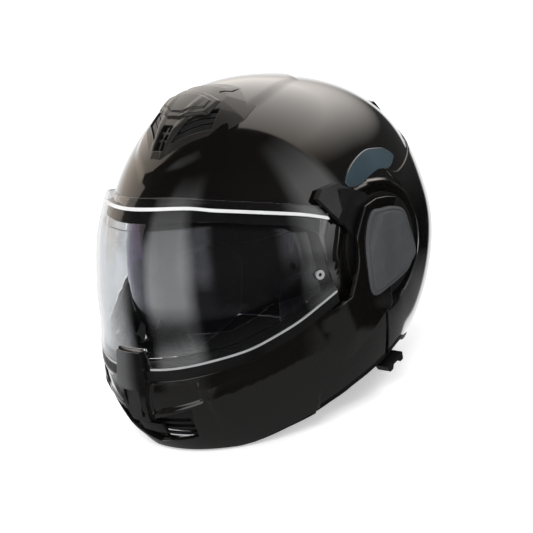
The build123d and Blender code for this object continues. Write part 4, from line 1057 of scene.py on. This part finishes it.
WORLD_LIGHT, WORLD_SEEN = 0.55, 1.0
world = bpy.data.worlds.new("surround")
scene.world = world
world.use_nodes = True
tree = world.node_tree
path = add(tree, "ShaderNodeLightPath")
seen = add(tree, "ShaderNodeMath", operation="MAXIMUM")
tree.links.new(path.outputs["Is Camera Ray"], seen.inputs[0])
tree.links.new(path.outputs["Is Transmission Ray"], seen.inputs[1])
any_seen = add(tree, "ShaderNodeMath", operation="MAXIMUM")
tree.links.new(seen.outputs[0], any_seen.inputs[0])
tree.links.new(path.outputs["Is Glossy Ray"], any_seen.inputs[1])
level = add(tree, "ShaderNodeMapRange")
put(level, To_Min=WORLD_LIGHT, To_Max=WORLD_SEEN)
tree.links.new(any_seen.outputs[0], level.inputs["Value"])
put(tree.nodes["Background"], Color=(1, 1, 1, 1))
tree.links.new(level.outputs["Result"], tree.nodes["Background"].inputs["Strength"])

for name, place, size, power in (("key", (0.9, -1.5, 1.7), 1.2, 26), ("fill", (-1.6, -0.9, 0.9), 1.4, 12),
                                 ("rim", (0.4, 1.6, 1.4), 1.0, 16)):
    lamp(name, place, size, power)

# The studio that only reflections see. Directions are from the object, in the row frame
BACKDROP_WAY = (-0.6626, 0.6804, -0.3131)
# Upright softboxes: from and to in degrees round the object (0 ahead, 90 its left), soft edge, level
SOFTBOXES = (("front", -5, 30, 5, 1.5), ("left", 90, 120, 5, 1.2), ("right", -100, -70, 10, 0.4))
STUDIO_DARK = 0.05
FLOOR_LEVEL, FLOOR_EDGE = 0.15, (-0.45, -0.35)
SIDE_LIGHT = (0.95, 0.96, 0.98, 1)
SOFTBOX_WAY, SOFTBOX_EDGE_WAY, SOFTBOX_LOW_WAY = (-0.262, 0.72, 0.643), (-0.48, 0.877, 0.0), (-0.35, 0.0, 1.0)
SOFTBOX_TONES = [(0.0, (0.8, 0.7, 0.6)), (1.0, (2.0, 1.9, 1.8))]
BACKDROP_EDGE = (0.86, 0.89)
TENT_ROWS, TENT_COLUMNS, TENT_RADIUS = 24, 48, 3.5


def stage_piece(name, points, faces, material, hidden):
    """A surface of the studio, hidden from the kinds of ray given."""
    mesh = bpy.data.meshes.new(name)
    mesh.from_pydata(points, [], faces)
    mesh.materials.append(material)
    obj = bpy.data.objects.new(name, mesh)
    scene.collection.objects.link(obj)
    for ray in hidden:
        setattr(obj, "visible_" + ray, False)


def tent():
    """A dark studio all round the object that only reflections see, with softboxes and a backdrop."""
    rows, columns, size = TENT_ROWS, TENT_COLUMNS, TENT_RADIUS
    points = [(size * math.cos(r) * math.cos(c), size * math.cos(r) * math.sin(c), size * math.sin(r))
              for r in np.linspace(-math.pi / 2, math.pi / 2, rows + 1)
              for c in np.linspace(0, 2 * math.pi, columns + 1)[:-1]]
    faces = [(i * columns + j, i * columns + (j + 1) % columns, (i + 1) * columns + (j + 1) % columns,
              (i + 1) * columns + j) for i in range(rows) for j in range(columns)]
    material, tree, shader = nodes_of("studio_tent")
    tree.nodes.remove(shader)
    light = add(tree, "ShaderNodeEmission", Strength=1.0)

    def fed(node, sockets):
        """Sets or links a node's sockets."""
        for socket, value in sockets:
            if isinstance(value, (int, float, tuple)):
                node.inputs[socket].default_value = value
            else:
                tree.links.new(value, node.inputs[socket])
        return node

    def toned(value, stops):
        """A ramp of greys, or of colours, over a value."""
        ramp = add(tree, "ShaderNodeValToRGB")
        while len(ramp.color_ramp.elements) < len(stops):
            ramp.color_ramp.elements.new(0.5)
        for element, (place, tone) in zip(ramp.color_ramp.elements, stops):
            element.position, element.color = place, (*(tone if isinstance(tone, tuple) else (tone,) * 3), 1)
        tree.links.new(value, ramp.inputs["Fac"])
        return ramp.outputs["Color"]

    def mixed(kind, first, second, share=1.0):
        node = add(tree, "ShaderNodeMixRGB", blend_type=kind)
        return fed(node, (("Fac", share), ("Color1", first), ("Color2", second))).outputs["Color"]

    def product(first, second):
        return fed(add(tree, "ShaderNodeMath", operation="MULTIPLY"), ((0, first), (1, second))).outputs[0]

    def towards(way):
        return fed(add(tree, "ShaderNodeVectorMath", operation="DOT_PRODUCT"),
                   ((0, unit.outputs[0]), (1, way))).outputs["Value"]

    spot = add(tree, "ShaderNodeNewGeometry")
    unit = fed(add(tree, "ShaderNodeVectorMath", operation="NORMALIZE"), ((0, spot.outputs["Position"]),))
    plain = fed(add(tree, "ShaderNodeSeparateXYZ"), ((0, unit.outputs[0]),))
    bearing = fed(add(tree, "ShaderNodeMath", operation="ARCTAN2"),
                  ((0, plain.outputs["X"]), (1, product(plain.outputs["Y"], -1.0))))
    round_way = ranged(tree, bearing.outputs[0], 0.0, 1.0, -math.pi, math.pi)
    height = ranged(tree, plain.outputs["Z"], 0.0, 1.0, -1.0, 1.0)
    # Upright softboxes round the sides, fading out towards the top and the floor
    strips = (STUDIO_DARK,) * 3 + (1,)
    for _, start, end, soft, level in SOFTBOXES:
        opens, shuts = (
            ranged(tree, round_way, low, high, (edge - soft) / 360 + 0.5, (edge + soft) / 360 + 0.5)
            for edge, low, high in ((start, 0.0, 1.0), (end, 1.0, 0.0)))
        strips = mixed("MIX", strips, (level, level, level, 1), product(opens, shuts))
    sides = mixed("MULTIPLY", strips, toned(height, [(0.40, 0.1), (0.50, 1.0), (0.75, 0.8), (0.95, 0.0)]))
    below = ranged(tree, plain.outputs["Z"], 1.0, 0.0, *FLOOR_EDGE)
    sides = mixed("MIX", sides, (FLOOR_LEVEL,) * 3 + (1,), below)
    # White side light, low on the right
    glow_round = toned(round_way, [(0.06, 0), (0.10, 1), (0.36, 1), (0.42, 0)])
    glow_height = toned(height, [(0.30, 0), (0.36, 1), (0.56, 1), (0.62, 0)])
    sides = mixed("MIX", sides, SIDE_LIGHT, mixed("MULTIPLY", glow_round, glow_height))
    # Warm softbox over the back of the object, with a straight front edge
    over = product(ranged(tree, towards(SOFTBOX_EDGE_WAY), 0.0, 1.0, 0.0, 0.03),
                   ranged(tree, towards(SOFTBOX_LOW_WAY), 0.0, 1.0, 0.25, 0.55))
    warm = toned(ranged(tree, towards(SOFTBOX_WAY), 0.0, 1.0, 0.55, 1.0), SOFTBOX_TONES)
    lit = mixed("MIX", sides, warm, over)
    # The white backdrop stands behind the object, seen from the photograph's side
    seen = mixed("MIX", lit, (1, 1, 1, 1), ranged(tree, towards(BACKDROP_WAY), 0.0, 1.0, *BACKDROP_EDGE))
    tree.links.new(seen, light.inputs["Color"])
    tree.links.new(light.outputs[0], tree.nodes["Material Output"].inputs["Surface"])
    stage_piece("studio_tent", points, faces, material, ("camera", "diffuse", "shadow", "volume_scatter"))


tent()


# Pale floor that keeps the shadow, and a dark disc on it that is seen only through glass: painted shade for
# the floor in the helmet's shadow, seen through the neck opening
DISC_SIDES = 96
FLOOR_RADIUS, FLOOR_DROP, FLOOR_GLOW = 6.0, -0.0005, 0.45
DARK_RADIUS, DARK_RISE, DARK_X, DARK_Y = 0.155, 0.0002, -0.02, 0.03


def disc_of(name, size, height, material, hidden, x=0.0, y=0.0):
    turns = np.linspace(0, 2 * math.pi, DISC_SIDES + 1)[:-1]
    ring = [(x + size * math.cos(t), y + size * math.sin(t), height) for t in turns]
    stage_piece(name, ring, [tuple(range(DISC_SIDES))], material, hidden)


floor_material, tree, shader = nodes_of("floor")
tree.links.new(blended(tree, noise(tree, coordinates(tree), 3.0), (0.93, 0.93, 0.93), (0.95, 0.95, 0.95)),
               shader.inputs["Base Color"])
put(shader, Roughness=0.9, Specular_IOR_Level=0.0)
path = add(tree, "ShaderNodeLightPath")
tree.links.new(path.outputs["Is Camera Ray"], shader.inputs["Emission Strength"])
put(shader, Emission_Color=(FLOOR_GLOW,) * 3 + (1,))
disc_of("floor", FLOOR_RADIUS, FLOOR_DROP, floor_material, ("glossy", "transmission"))
# Near-black disc colour: painted shade, standing in for the shaded floor under the helmet
dark, tree, shader = nodes_of("painted_shade_floor")
put(shader, Base_Color=(0.004, 0.004, 0.004, 1), Specular_IOR_Level=0.0)
disc_of("painted_shade_under_helmet", DARK_RADIUS, DARK_RISE, dark,
        ("camera", "diffuse", "glossy", "shadow", "volume_scatter"), DARK_X, DARK_Y)

# Camera, solved from the photograph
CAMERA_AT = (0.98507, -1.00845, 0.57123)
CAMERA_AXES = ((0.743145, 0.649255, -0.161878), (-0.093125, 0.339921, 0.935831),
               (0.662619, -0.680384, 0.313073))
CAMERA_LENS, CAMERA_SENSOR = 115.37, 36.0
camera = bpy.data.cameras.new("camera")
camera.lens, camera.sensor_width, camera.sensor_fit = CAMERA_LENS, CAMERA_SENSOR, "HORIZONTAL"
camera_object = bpy.data.objects.new("camera", camera)
scene.collection.objects.link(camera_object)
axes = Matrix(CAMERA_AXES).transposed().to_4x4()
camera_object.matrix_world = Matrix.Translation(CAMERA_AT) @ axes
scene.camera = camera_object
